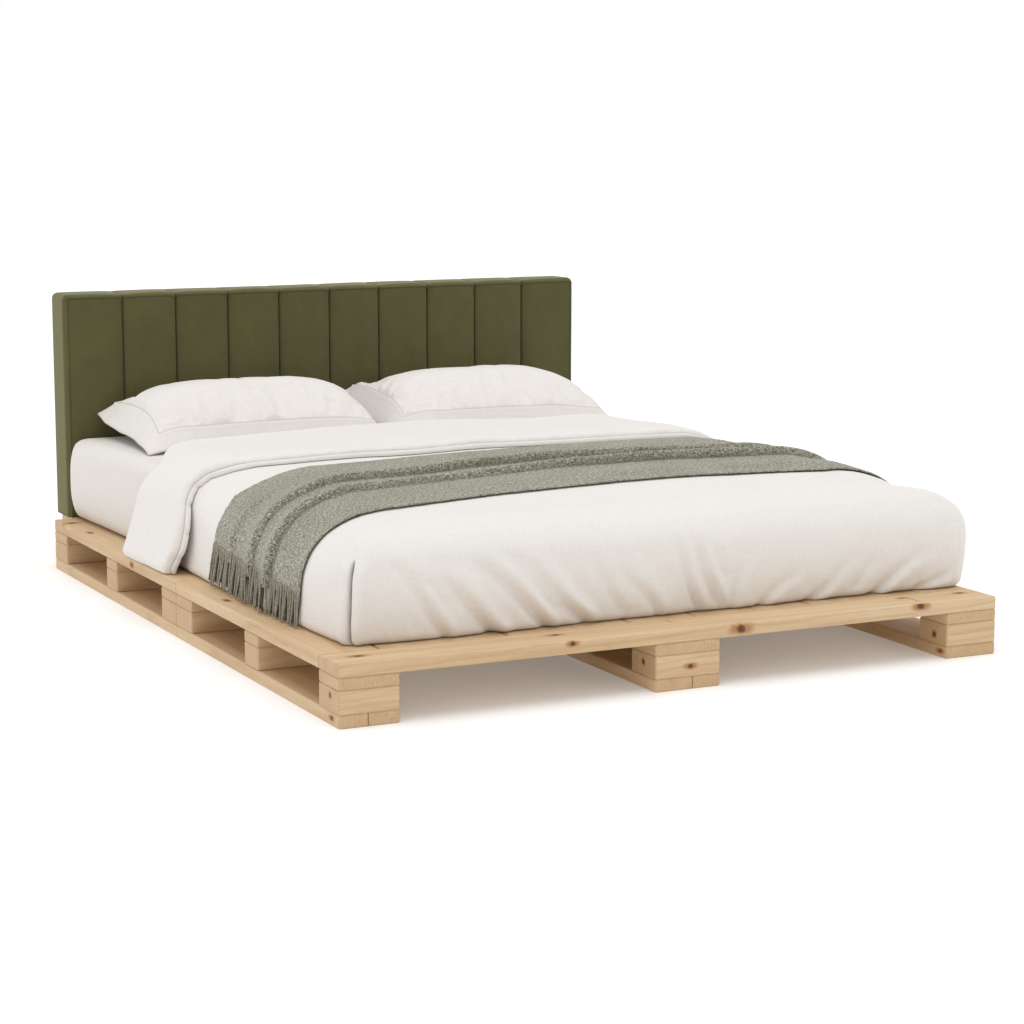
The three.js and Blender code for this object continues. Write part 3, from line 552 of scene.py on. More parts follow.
def mattress_crown(x, y):
    """Rise of the mattress's top: a parabola across it, and a flatter fourth-power arch along it."""
    across = np.clip(x / MATTRESS_HALF, -1, 1)
    along = np.clip((y - MATTRESS_FRONT) / MATTRESS_LENGTH * 2 - 1, -1, 1)
    return MATTRESS_CROWN * (1 - across ** 2) * (1 - along ** 4)


def side_bulge(y, z):
    """Fullness of the mattress side: a flat-topped arch up its height, full by the headboard and drawn in where
    the duvet covers it."""
    up = clamp((z - DECK_TOP) / (MATTRESS_TOP - DECK_TOP))
    full = np.interp(y, (0.2, 0.46, 0.71, 0.94), (-10 * MM, 0, 14 * MM, 24 * MM))
    return full * (1 - np.abs(2 * up - 1) ** 3)


def shoulder_radii(x, y):
    """Rounding across and down at a box place, read along the duvet and blended from left to right."""
    away = y - DUVET_FRONT
    right = ease(x / (2 * DUVET_HALF) + 0.5)
    across = mix(np.interp(away, ALONG, LEFT_ACROSS), np.interp(away, ALONG, RIGHT_ACROSS), right)
    down = mix(np.interp(away, ALONG, LEFT_DOWN), np.interp(away, ALONG, RIGHT_DOWN), right)
    return across, down


def on_duvet(points, offset=0.0, hem=0.0):
    """Places points of the duvet's box on its outer surface. Each is pulled on to a form round the nearest point
    of the box less its radii: nearly square in plan, by the sixth power, and a circle from plan to height. The
    hem is rounded in by a quarter circle. Loft, fullness and slow swells push the surface out, then the offset.
    Gives places and ways out."""
    x, y, z = points[..., 0], points[..., 1], points[..., 2]
    across, down = shoulder_radii(x, y)
    radii = vec(across, FRONT_ROUND, down)
    kernel = vec(
        np.clip(x, across - DUVET_HALF, DUVET_HALF - across),
        np.maximum(y, DUVET_FRONT + FRONT_ROUND),
        np.minimum(z, DUVET_TOP - down))
    d = (points - kernel) / radii
    plan = (np.abs(d[..., 0]) ** 6 + np.abs(d[..., 1]) ** 6) ** (1 / 6)
    length = np.hypot(plan, d[..., 2])
    place = kernel + d / np.maximum(length, 1e-9)[..., None] * radii
    flat = (np.abs(d[..., :2]) / np.maximum(plan, 1e-9)[..., None]) ** 5 * np.sign(d[..., :2]) * plan[..., None]
    out = unit(np.concatenate([flat, d[..., 2:]], axis=-1) / radii)
    if hem:
        turn = clamp((DUVET_BOTTOM + hem - z) / hem) * math.pi / 2
        inward = hem * (1 - np.cos(turn))
        place[..., :2] -= out[..., :2] * inward[..., None]
        place[..., 2] = np.where(turn > 0, DUVET_BOTTOM + hem * (1 - np.sin(turn)), place[..., 2])
    away = y - DUVET_FRONT
    hang = hang_share(place[..., 2])
    middle = np.sin(math.pi * hang)
    loft = np.interp(away, LOFT_ALONG, LOFT) * ease(out[..., 2])
    lean = np.interp(away, HEM_ALONG, HEM_OUT) - np.interp(away, HEM_ALONG, LEAN_IN) * (place[..., 2] - DUVET_BOTTOM)
    left = np.maximum(-out[..., 0], 0) * lean
    right = np.maximum(out[..., 0], 0) * (8 * MM + (28 + 12 * middle) * MM * bell(away, 0.6))
    front = np.maximum(-out[..., 1], 0) * 14 * MM * middle
    level = clamp(1 - np.abs(out[..., 2]))
    swell = swells(place, 4, 420, 1) + swells(place, 2.2, 190, 2)
    ripple = swells(place * [1, 1, 0.3], 2, 60, 3) * level * (0.3 + 0.7 * hang)
    push = loft + left + right + front + swell * (0.35 + 0.65 * ease(out[..., 2])) + ripple + offset
    crown = np.maximum(out[..., 2], 0) * mattress_crown(place[..., 0], place[..., 1])
    crown -= 14 * MM * ease(out[..., 2]) * ease(np.abs(place[..., 0]) / 0.5) * ease((away - 1.1) / 0.35)
    place = place + out * push[..., None]
    place[..., 2] += crown
    place[..., 0] += bedding_shift(place[..., 1])
    return place, out


def across_path(bottom, pitch):
    """Box places of a line over the bed from hem to hem: up one side, over the top and down the other.
    Gives X, Z and the arc length, measured on the box, from the middle."""
    up = stations(bottom, DUVET_TOP, 0, SHOULDER_DROP, pitch)
    over = stations(-DUVET_HALF, DUVET_HALF, SHOULDER, SHOULDER, pitch)
    x = np.concatenate([np.full(len(up) - 1, -DUVET_HALF), over, np.full(len(up) - 1, DUVET_HALF)])
    z = np.concatenate([up[:-1], np.full(len(over), DUVET_TOP), up[:-1][::-1]])
    step = np.hypot(np.diff(x), np.diff(z))
    arc = np.concatenate([[0], np.cumsum(step)])
    return x, z, arc - arc[-1] / 2


# Creases of the duvet's foot in millimetres: X and height of the upper end, of the lower end, depth and width
FOOT_CREASES = [
    (-700, 345, -548, 152, 9, 15), (-640, 322, -566, 230, 4, 12), (-600, 300, -405, 132, 13, 17),
    (-500, 330, -285, 150, 14, 16), (-436, 346, -262, 190, 6, 14), (-385, 330, -185, 148, 12, 15),
    (-210, 320, -90, 170, 4, 16), (-112, 285, 4, 148, 7, 15), (30, 372, 108, 160, 9, 11),
    (74, 382, 162, 166, 10, 13), (128, 330, 176, 240, 4, 11), (250, 300, 200, 150, 4, 16),
    (395, 235, 272, 140, 7, 14), (548, 250, 415, 142, 8, 14), (640, 262, 548, 170, 4, 14),
    (766, 262, 596, 138, 11, 14), (876, 222, 735, 142, 7, 13),
]


def foot_creases(x, z):
    """The sum of the foot's creases. Each is a narrow bell sunk along its line beside a wider raised one, deepest
    near its lower end and faded out at both ends."""
    total = np.zeros(np.shape(x))
    for x1, z1, x2, z2, depth, spread in FOOT_CREASES:
        length = math.hypot(x2 - x1, z2 - z1) * MM
        run, fall = (x2 - x1) * MM / length, (z2 - z1) * MM / length
        dx, dz = x - x1 * MM, z - z1 * MM
        along = (dx * run + dz * fall) / length
        away = -dx * fall + dz * run + 6 * MM * np.sin(5 * along + x1)
        fade = clamp(along) ** 0.9 * ease((1.12 - along) / 0.2) * (along < 1.12)
        width = 0.85 * spread * MM * (1.25 - 0.45 * clamp(along))
        sunk = bell(away, width) - 0.75 * bell(away - 1.9 * width, 1.5 * width)
        total -= 1.7 * depth * MM * fade * sunk
    return total


def graded(length, near, far, reach):
    """Places from 0 to a length whose steps grow from one size to another over a reach."""
    places = [0.0]
    while places[-1] < length:
        places.append(places[-1] + float(mix(near, far, ease(places[-1] / reach))))
    return np.array(places) * length / places[-1]


def duvet():
    """The duvet's main layer: the box skin rounded over the mattress, with creases and fine slanting wrinkles at
    the foot, small waves at the hem and a folded slit at each foot corner. Its head end runs in under the band."""
    head_end = DUVET_HEAD - OVERLAP
    half = graded(DUVET_HALF, 3 * MM, 9 * MM, 0.12)
    lines = (
        np.concatenate([half - DUVET_HALF, (DUVET_HALF - half)[::-1][1:]]),
        DUVET_FRONT + graded(head_end - DUVET_FRONT, 3 * MM, 15 * MM, 0.4),
        DUVET_BOTTOM + graded(DUVET_TOP - DUVET_BOTTOM, 2.5 * MM, 6.5 * MM, 0.05),
    )
    points, quads, corner_places, axes = box_skin(lines, skip=((2, 0), (1, 1)))
    head = (points[:, 1] - BAND_FOOT) / (head_end - BAND_FOOT)
    slid = mix(BAND_FOOT, band_head_edge(points[:, 0], points[:, 2]) - OVERLAP, head)
    points[:, 1] = np.where(head > 0, slid, points[:, 1])
    place, out = on_duvet(points, hem=HEM_ROUND)
    x, y, z = place.T
    front = ease(-out[:, 1] * 1.4)
    level = clamp(1 - np.abs(out[:, 2]))
    low = clamp(1 - (z - DUVET_BOTTOM) / 0.2)
    slant = vec(x * 0.8 + z * 0.6, 0, (z * 0.8 - x * 0.6) * 0.28)
    push = (swells(slant, 1.5, 30, 5) + swells(slant, 0.7, 13, 6)) * front * (0.25 + low)
    push += swells(vec(x, y, z * 0.3), 0.7, 30, 7) * (level - front).clip(0) * (0.3 + low)
    push += foot_creases(x, z) * front
    push += swells(vec(x, y, 0), 5, 110, 4) * low ** 3
    slit, line = slit_depth(points)
    place = place + out * (push + slit)[:, None]
    place[:, 2] = np.maximum(place[:, 2], DUVET_BOTTOM)
    # Painted shade along the slit, with a painted contact shadow along the bottom of the hem.
    line = np.maximum(line, 0.4 * bell(points[:, 2] - DUVET_BOTTOM, 5 * MM))
    uv = skin_uv(corner_places, axes, DUVET_HALF, DUVET_FRONT, DUVET_TOP)
    obj = mesh_object("duvet_cover", place, quads, uv, line)
    thick = obj.modifiers.new("filling", "SOLIDIFY")
    thick.thickness = FILLING
    thick.offset = -1
    return obj


# Height of the slits' upper ends, and how far from a corner of the plan their forms reach
SLIT_TOP = 347 * MM
SLIT_REACH = 200 * MM


def slit_depth(points):
    """Depth of the folded slits at the foot corners, and the share of painted shade along them: round each corner of
    the plan a narrow sunk line, drawn to the side lower down, with a lip on both sides, below a dimple. The one on
    the right is only hinted at and gets no painted shade."""
    x, y, z = points.T
    full = np.where(x < 0, 1.0, 0.1)
    round_corner = DUVET_HALF - np.abs(x) - (y - DUVET_FRONT)
    drawn = 19 * MM * full * clamp(1 - (z - DUVET_BOTTOM) / 0.2)
    beside = round_corner + drawn - 3 * MM * np.sin(z * 14)
    foot = (y < DUVET_FRONT + SLIT_REACH) & (np.abs(x) > DUVET_HALF - SLIT_REACH)
    height = ease((SLIT_TOP - z) / 0.03) * foot
    lips = 5 * MM * bell(beside - 22 * MM, 15 * MM) + 6 * MM * bell(beside + 20 * MM, 15 * MM)
    dimple = 9 * MM * bell(np.hypot(beside, z - SLIT_TOP - 5 * MM), 26 * MM)
    sunk = 30 * MM * bell(beside, 4 * MM)
    # Painted shade along the left slit's sunk line.
    line = np.minimum(1.7 * bell(beside, 3 * MM), 1) * height * (x < 0)
    return full * ((lips - sunk) * height - dimple * foot), line


def turn_share(x):
    """How far a box place has turned from the top on to the side, from 0 to 1, over the last 210 mm."""
    return ease((np.abs(x) - DUVET_HALF) / 0.21 + 1)


def hang_share(z):
    """How far down the duvet's side a height lies: 0 at its top and 1 at its hem."""
    return clamp((DUVET_TOP - z) / (DUVET_TOP - DUVET_BOTTOM))


def band_foot_edge(x, z):
    """Y of the turned-back hem: further back over the shoulder, forward down the side and back at its end."""
    hang = hang_share(z)
    down = 50 * ease((hang - 0.1) / 0.5) - 28 * ease((hang - 0.7) / 0.3)
    return BAND_FOOT - 28 * MM + (33 - down) * MM * turn_share(x)


def band_head_edge(x, z):
    """Y of the fold by the pillows: level on top, far forward over the shoulder, and back a little at the hem."""
    return DUVET_HEAD - 16 * MM - (195 - 17 * hang_share(z)) * MM * turn_share(x) ** 1.3


# The band's section in millimetres from its edge and heights over the duvet: its hem, how far it goes to the
# fold, its heights on top and where it takes in the main layer, and its way back underneath
BAND_HEM = [
    (0, 2.5), (0.4, 8), (2, 12), (5, 14), (9, 14.2), (12, 12.6), (13.6, 10), (15, 13), (17, 17.5), (20, 21.5),
    (25, 25), (32, 27), (42, 28.2), (55, 28.5),
]
BAND_LENGTH = 493
BAND_FULL = 28.5
BAND_UNDER = -13
BAND_BACK = [(478, BAND_UNDER), (457, BAND_UNDER), (449, 0.6), (300, 0.6), (150, 0.6), (40, 0.6), (6, 1)]


def band():
    """The turned-back end of the duvet. Its section starts at the hem, a flat flange and a stitched groove, goes
    on over the top to the fold, a half circle that takes in the main layer, and returns underneath. The section
    is carried from hem to hem over the bed, following its two edges, puckered at the stitches, and flares where
    it hangs, its upper side more than its lower."""
    x, z, arc = across_path(DUVET_BOTTOM + 1.5 * MM, 7 * MM)
    radius, centre = (BAND_FULL - BAND_UNDER) / 2, (BAND_FULL + BAND_UNDER) / 2
    angle = np.linspace(math.pi / 2, -math.pi / 2, 11)[1:-1]
    section = np.concatenate([
        BAND_HEM, vec(np.linspace(68, BAND_LENGTH, 40), BAND_FULL),
        vec(BAND_LENGTH + radius * np.cos(angle), centre + radius * np.sin(angle)), BAND_BACK])
    from_edge, height = section.T * MM
    share = from_edge / (BAND_LENGTH * MM)
    x, z, arc = x[:, None], z[:, None], arc[:, None]
    hang, turn = hang_share(z), turn_share(x)
    near_hem = np.exp(-from_edge / (18 * MM))
    upper = clamp(height / (BAND_FULL * MM))
    to_end = arc[-1] - np.abs(arc)

    # Two edges, a wavy hem and small notches where it turns down
    edge_wave = swells(vec(arc, 0, 0), 2.4, 45, 13)
    notch = bell(np.mod(arc, 0.066) - 0.033, 5 * MM) * turn
    y = mix(band_foot_edge(x, z), band_head_edge(x, z), share) + (edge_wave + 7 * MM * notch) * near_hem
    points = vec(x, y, z)

    # Height over the duvet
    fuller = mix(0.5, 1.0, np.maximum(upper, 0.5 * near_hem))
    flare = 46 * MM * np.where(x < 0, 1.0, 0.35) * hang ** 1.6 * turn * fuller
    pucker = swells(vec(arc, y * 0.15, 0), 2.2, 17, 14) * bell(from_edge - 24 * MM, 14 * MM)
    soft = swells(points, 3.2, 300, 12) + swells(vec(x, y, z * 0.4), 1.7, 85, 11)
    soft += swells(points, 0.6, 26, 15) + pucker
    end_seam = 2.2 * MM * bell(to_end - 16 * MM, 2.5 * MM)
    end_thin = ease(to_end / 0.014) * 0.55 + 0.45
    offset = height * end_thin + flare + (soft - end_seam - 2.5 * MM * notch * near_hem) * upper
    place = on_duvet(points, offset)[0]
    place[..., 2] = np.maximum(place[..., 2], DECK_TOP + 0.6 * MM)
    # Painted shade in the stitched groove near the hem, on the upper side only.
    groove = np.broadcast_to(0.5 * bell(from_edge - 13.6 * MM, 1.8 * MM) * (upper > 0.1), y.shape)
    return swept("duvet_turned_back", place[:, ::-1], vec(arc, from_edge[::-1]), groove[:, ::-1])


def throw_line(share, x, z):
    """Y of the throw at a share of its width: between two edges that are read across the bed, the foot edge
    swinging forward towards both sides, the head edge drifting forward where it hangs on the left."""
    foot = np.interp(x, THROW_ACROSS, THROW_FOOT)
    head = np.interp(x, THROW_ACROSS, THROW_HEAD)
    left = (1 - x / DUVET_HALF) / 2
    return mix(foot, head - 85 * MM * hang_share(z) * left, share)


# The throw's folds: place across it on top and at its hems, rise, and widths towards the foot and the head in mm
THROW_FOLDS = [(0.385, 0.33, 24, 10, 40), (0.575, 0.54, 23, 10, 42)]


def throw_rise(share, arc):
    """Height of the throw's folds over the cloth: bells with a steep side towards the foot, which wander and swell
    along the throw, and a shallow crease by the left hem. Also gives how far each place is drawn over towards the
    foot, so that the folds lean, and the share of painted shade in the troughs below their steep sides."""
    total = np.zeros(np.broadcast(share, arc).shape)
    drawn = np.zeros(total.shape)
    trough_painted_shade = np.zeros(total.shape)
    hanging = clamp((np.abs(arc) - 0.62) / 0.3)
    for number, (centre, at_hem, rise, steep, long) in enumerate(THROW_FOLDS):
        wander = 0.012 * np.sin(3.1 * arc + 1.7 * number) + 0.007 * np.sin(8.3 * arc + number)
        away = (share - mix(centre, at_hem, hanging) - wander) * THROW_WIDTH
        swell = (0.85 + 0.15 * np.sin(4.3 * arc + 2.1 * number)) * mix(1, 0.8, hanging)
        total += rise * MM * swell * np.where(away < 0, bell(away, steep * MM), bell(away, long * MM))
        drawn += 8 * MM * swell * bell(away, 16 * MM)
        # Painted shade in the hollow below each fold's steep side.
        trough_painted_shade += 0.75 * swell * bell(away + 1.7 * steep * MM, 7 * MM)
    crease = bell((share - 0.77 + 0.05 * (arc + 0.9)) * THROW_WIDTH, 17 * MM) * bell(arc + 0.92, 0.16)
    low = bell((share - 0.17) * THROW_WIDTH, 46 * MM) * (0.5 + 0.5 * np.sin(2.4 * arc + 0.6))
    return total + 9 * MM * crease + 5 * MM * low, drawn, trough_painted_shade


def throw():
    """The throw: a thin closed section across its width, with its folds and painted shade in their troughs, carried
    from hem to hem.
    """
    x, z, arc = (part[:, None] for part in across_path(THROW_HEM, 6 * MM))
    count = 150
    shares = np.linspace(0, 1, count)
    section = np.concatenate([vec(shares, THROW_THICK), vec(shares[::-1][::3], 0.5 * MM)])
    share, height = section.T
    ragged = swells(vec(arc, 0, 0), 1.6, 11, 24) * np.abs(2 * share - 1) ** 12
    folds, drawn, trough_painted_shade = throw_rise(share, arc)
    y = throw_line(share, x, z) + ragged - drawn
    points = vec(x, y, z - THROW_DROP * (1 - share) * (DUVET_TOP - z) / (DUVET_TOP - THROW_HEM))
    rim = 0.35 + 0.65 * ease(np.minimum(share, 1 - share) * THROW_WIDTH / (7 * MM))
    upper = height > 1 * MM
    soft = (1.4 * MM + swells(points, 1.4, 110, 21) + swells(points, 0.6, 14, 22)) * upper
    place = on_duvet(points, 2 * MM + np.where(upper, height * rim, height) + folds + soft)[0]
    step = np.linalg.norm(np.diff(place[:, :count], axis=1, prepend=place[:, :1]), axis=-1)
    along = np.cumsum(step, axis=1)
    along = np.concatenate([along, along[:, ::-1][:, ::3]], axis=1)
    return swept("throw_cloth", place[:, ::-1], vec(arc, along[:, ::-1]), trough_painted_shade[:, ::-1])


def fringe(side):
    """The fringe at one hem, one object: each strand is a two-lobed, twisted tube that hangs from the hem beside the
    duvet, sways a little along it in two sines and leans towards the middle of its clump. Every second strand lies
    behind its neighbours and is darkened with painted shade."""
    rings, around, strands, clumps = 20, 8, 84, 14
    rank = np.arange(strands)[:, None]
    behind = rank % 2 == 1
    seed, seed_b = (lattice_value(vec(rank, 0, 0), number) for number in (71, 72))
    turn, turn_b = 6.28 * seed, 6.28 * seed_b
    thick = np.where(behind, 3.6, 3.7) * MM
    length = np.where(behind, 84, 92) * MM + 14 * MM * (seed_b - 0.5)
    share = (rank + 0.5 + 0.5 * (seed - 0.5)) / strands
    lean = (np.round(share * clumps) / clumps - share) * THROW_WIDTH * 0.4
    t = np.linspace(0, 1, rings)

    # The strands' middle lines
    folds, drawn = throw_rise(share, side * 1.0)[:2]
    sway = 2.6 * MM * np.sin(5 * t + turn) + 1.5 * MM * np.sin(12 * t + turn_b)
    x = side * DUVET_HALF
    y = throw_line(share, x, THROW_HEM) + lean * ease(t * 1.1) + sway * t - drawn
    z = THROW_HEM + 6 * MM - THROW_DROP * (1 - share) - t * (length + 6 * MM)
    out_by = np.where(behind, 3 * MM, 9 * MM) + 3 * MM * seed * t + folds * (1 - 0.5 * t)
    centre = on_duvet(vec(x, y, z), out_by)[0]
    centre[..., 2] = np.maximum(centre[..., 2], DECK_TOP + 5 * MM)

    # Twisted lobes round them
    angle = np.linspace(0, 2 * math.pi, around, endpoint=False)
    twist = 10 * math.pi * t + turn
    lobes = 0.82 + 0.18 * np.cos(2 * (angle - twist[..., None]))
    knot = 1 + 0.3 * bell(t - 0.05, 0.05)
    taper = ease((1.02 - t) / 0.1) * (1 - 0.25 * t)
    radius = (thick * knot * taper)[..., None] * lobes
    points = centre[:, :, None, :] + radius[..., None] * vec(np.sin(angle), np.cos(angle), 0)
    quads = grid_quads(rings, around, wrap_v=True)[:, ::-1]
    all_quads = (quads + (rank * rings * around)[..., None]).reshape(-1, 4)
    uv = vec(thick[..., None] * angle, (t * length)[..., None]).reshape(-1, 2)[all_quads]
    # Painted shade on every strand behind its neighbours.
    hidden_strand_painted_shade = np.broadcast_to(np.where(behind, 0.9, 0.0)[..., None], radius.shape)
    name = "throw_fringe_left" if side < 0 else "throw_fringe_right"
    obj = mesh_object(name, points.reshape(-1, 3), all_quads, uv, hidden_strand_painted_shade)
    reshape(obj, close_holes)
    return obj


def mattress():
    """The mattress in its fitted sheet: a rounded, crowned box whose sides are full by the headboard, with soft
    pulls. Where the duvet covers it, its upper edges are rounded far more."""
    edge, worn, depth = 28 * MM, 300 * MM, 200 * MM
    low = (-MATTRESS_HALF, MATTRESS_FRONT, DECK_TOP)
    high = (MATTRESS_HALF, MATTRESS_BACK, MATTRESS_TOP)
    lines = [stations(start, end, edge, edge, 14 * MM) for start, end in zip(low, high)]
    points, quads, corner_places, axes = box_skin(lines)
    place, out = round_over(points, low, high, [edge] * 3, [edge] * 3)
    x, y, z = place.T
    sideways = np.abs(out[:, 0])
    covered = 1 - ease((y - 0.08) / 0.2)
    up = clamp((z - MATTRESS_TOP + depth) / depth)
    in_from_side = clamp(1 - (MATTRESS_HALF - np.abs(x)) / worn)
    side_fall = covered * 130 * MM * in_from_side ** 2 * up
    foot_fall = 60 * MM * clamp(1 - (y - MATTRESS_FRONT) / 0.15) ** 2 * up
    crown = np.maximum(out[:, 2], 0) * mattress_crown(x, y)
    pulls = swells(vec(x, y * 0.6, z * 0.3), 1.4, 70, 31) * (sideways + 0.3)
    place = place + out * (sideways * side_bulge(y, z) + pulls)[:, None]
    place[:, 2] += crown - np.minimum(side_fall + foot_fall, 150 * MM)
    place[:, 0] += bedding_shift(place[:, 1])
    uv = skin_uv(corner_places, axes, MATTRESS_HALF, MATTRESS_FRONT, MATTRESS_TOP)
    return mesh_object("mattress_sheet", place, quads, uv)


# The cloth simulation that fills out the pillow cases
BILLOW_FRAMES = 20
BILLOW_CLOTH = {
    "quality": 4, "mass": 0.25, "tension_stiffness": 12, "compression_stiffness": 12, "shear_stiffness": 6,
    "bending_stiffness": 0.3, "use_pressure": True, "uniform_pressure_force": 1.0,
}


def billow(obj, held, growth, most):
    """Cloth simulation of a case: cloth that is a little too large, pressed out from inside and held where the
    numbers are 1, so that it gathers in from its seam. No point moves further than the given most."""
    mesh, scene = obj.data, bpy.context.scene
    start = np.empty((len(mesh.vertices), 3), np.float32)
    mesh.vertices.foreach_get("co", start.reshape(-1))
    group = obj.vertex_groups.new(name="held")
    for level in range(1, 11):
        chosen = np.flatnonzero(np.round(held * 10) == level)
        if len(chosen):
            group.add(chosen.tolist(), level / 10, "REPLACE")
    cloth = obj.modifiers.new("billow", "CLOTH")
    made = cloth.settings
    for setting, value in BILLOW_CLOTH.items():
        setattr(made, setting, value)
    made.vertex_group_mass = group.name
    made.shrink_min = -growth
    made.effector_weights.gravity = 0
    cloth.collision_settings.use_collision = False
    cloth.point_cache.frame_start, cloth.point_cache.frame_end = 1, BILLOW_FRAMES
    for number in range(1, BILLOW_FRAMES + 1):
        scene.frame_set(number)
    moved = np.empty_like(start)
    shaped = obj.evaluated_get(bpy.context.evaluated_depsgraph_get()).to_mesh()
    shaped.vertices.foreach_get("co", moved.reshape(-1))
    obj.modifiers.remove(cloth)
    obj.vertex_groups.remove(group)
    scene.frame_set(1)
    step = moved - start
    length = np.maximum(np.linalg.norm(step, axis=1, keepdims=True), 1e-9)
    place = start + step / length * most * np.tanh(length / most)
    mesh.vertices.foreach_set("co", np.ascontiguousarray(place, np.float32).ravel())
    mesh.update()


def pillow(side):
    """A pillow in a flanged case. Its upper face rises from the edge of the case by a power law in both
    directions, so that the flange slopes up to its stitched seam, and gathers run in from the seam. The lower
    face falls from the flange to the mattress. The rear edge stands up against the headboard."""
    half_x, half_y = PILLOW_WIDTH / 2, PILLOW_DEPTH / 2
    seam_x, seam_y = half_x - FLANGE, half_y - FLANGE
    fine = 6 * MM

    def case_line(half, seam):
        outer = np.concatenate([np.linspace(seam - fine, seam + fine, 11), np.linspace(seam + fine, half, 9)[1:]])
        middle = np.linspace(fine - seam, seam - fine, round(2 * (seam - fine) / (6.5 * MM)))[1:-1]
        return np.concatenate([-outer[::-1], middle, outer])

    lines = case_line(half_x, seam_x), case_line(half_y, seam_y), np.array([-1.0, 1.0])
    points, quads, corner_places = box_skin(lines)[:3]
    px, py, pz = points.T
    u, v = px / half_x, py / half_y
    x = -side * PILLOW_MIDDLE + px - 14 * MM * np.sign(u) * np.abs(u) ** 3 * (1 - v ** 2)
    y = PILLOW_BACK - half_y + py - 8 * MM * np.sign(v) * np.abs(v) ** 3 * (1 - u ** 2)
    seat = MATTRESS_TOP + mattress_crown(x - bedding_shift(y), y) + 1 * MM
    in_x, in_y = seam_x - np.abs(px), seam_y - np.abs(py)
    inward = np.minimum(in_x, in_y)
    from_seam = np.maximum(inward, 0)
    in_flange = clamp(-inward / FLANGE)

    # Edge, flange, dome and the lifted parts of the outline
    across_power = np.where((u > 0) & (side > 0), 3.2, 4.6)
    dome = ((1 - np.abs(u) ** across_power) * (1 - np.abs(v) ** 2.1)).clip(0) ** 1.05
    rise = 44 * MM - 16 * MM * ease((-v - 0.5) / 0.4)
    from_left, from_front = px + half_x, py + half_y
    corner = bell(np.hypot(from_left, py - half_y), 85 * MM)
    lifted = 9 * MM * bell(from_left - 95 * MM, 48 * MM) * bell(v + 1, 0.3)
    lifted -= 5 * MM * bell(np.hypot(from_left, from_front), 34 * MM)
    tip = 10 * MM * corner if side < 0 else 26 * MM * bell(from_left, 0.08) * ease((v + 0.2) / 1.2)
    wave = swells(vec(x, y, 0), 3.2, 60, 61 + side) * in_flange * (1 - corner) + lifted
    fullness = 80 * MM
    skin = np.interp(v, PILLOW_EDGE_ALONG, PILLOW_EDGE) + rise * (1 - in_flange) + fullness * dome + tip + wave

    # Gathers that run in from the seam, slow swells and the stitched seam itself
    run = np.where(in_x < in_y, y, x)
    gathers = swells(vec(run, from_seam * 0.25, 0), 5, 19, 41 + side) * np.exp(-from_seam / 0.045)
    gathers += swells(vec(run, from_seam * 0.12, 0), 11, 50, 43 + side) * np.exp(-from_seam / 0.09)
    swell = swells(vec(x, y, 0), 5, 170, 51 + side) * dome
    stitch = -4.5 * MM * bell(inward, 2 * MM) + 2.4 * MM * bell(inward + 5 * MM, 3 * MM)
    under = (skin - 4.5 * MM).clip(0) * (1 - ease(from_seam / 0.09))
    over = skin + gathers * ease(from_seam / 0.010) + swell + stitch
    z = seat + np.where(pz < 0, under, np.maximum(over, under + 3.5 * MM))
    name = "pillow_case_left" if side < 0 else "pillow_case_right"
    # The last argument is painted shade along the stitched seam on the upper face.
    obj = mesh_object(name, vec(x, y, z), quads, corner_places[..., :2], 0.3 * bell(inward, 1.6 * MM) * (pz > 0))
    held = np.where(pz < 0, 1, 1 - ease(from_seam / 0.012))
    billow(obj, held, 0.04, 26 * MM)
    return obj


# Headboard

PAD_LOW, PAD_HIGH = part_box("headboard_pad")
CHANNELS = 10
END_CHANNEL_EXTRA = 17.5 * MM
CHANNEL_WIDTH = (PAD_HIGH.x - PAD_LOW.x - 2 * END_CHANNEL_EXTRA) / CHANNELS
PAD_EDGE = 18 * MM
PIPING = 13 * MM
BACK_CLOTH_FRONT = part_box("headboard_back_cloth")[0].y


def channel_edges():
    """X of the seams between channels, with the two outer edges."""
    seams = PAD_LOW.x + END_CHANNEL_EXTRA + CHANNEL_WIDTH * np.arange(1, CHANNELS)
    return np.concatenate([[PAD_LOW.x], seams, [PAD_HIGH.x]])


def channel_fall(x):
    """Share of the full seam depth at X: a flat-topped arch in each channel, and none at the outer edges. Also
    gives the place across the channel, from -1 to 1."""
    edges = channel_edges()
    index = np.clip(np.searchsorted(edges, x, side="right") - 1, 0, CHANNELS - 1)
    across = 2 * (x - edges[index]) / (edges[index + 1] - edges[index]) - 1
    outer = ((index == 0) & (across < 0)) | ((index == CHANNELS - 1) & (across > 0))
    fall = 1 - clamp(1 - np.abs(across) ** 3) ** 0.45
    return np.where(outer, 0, fall), across


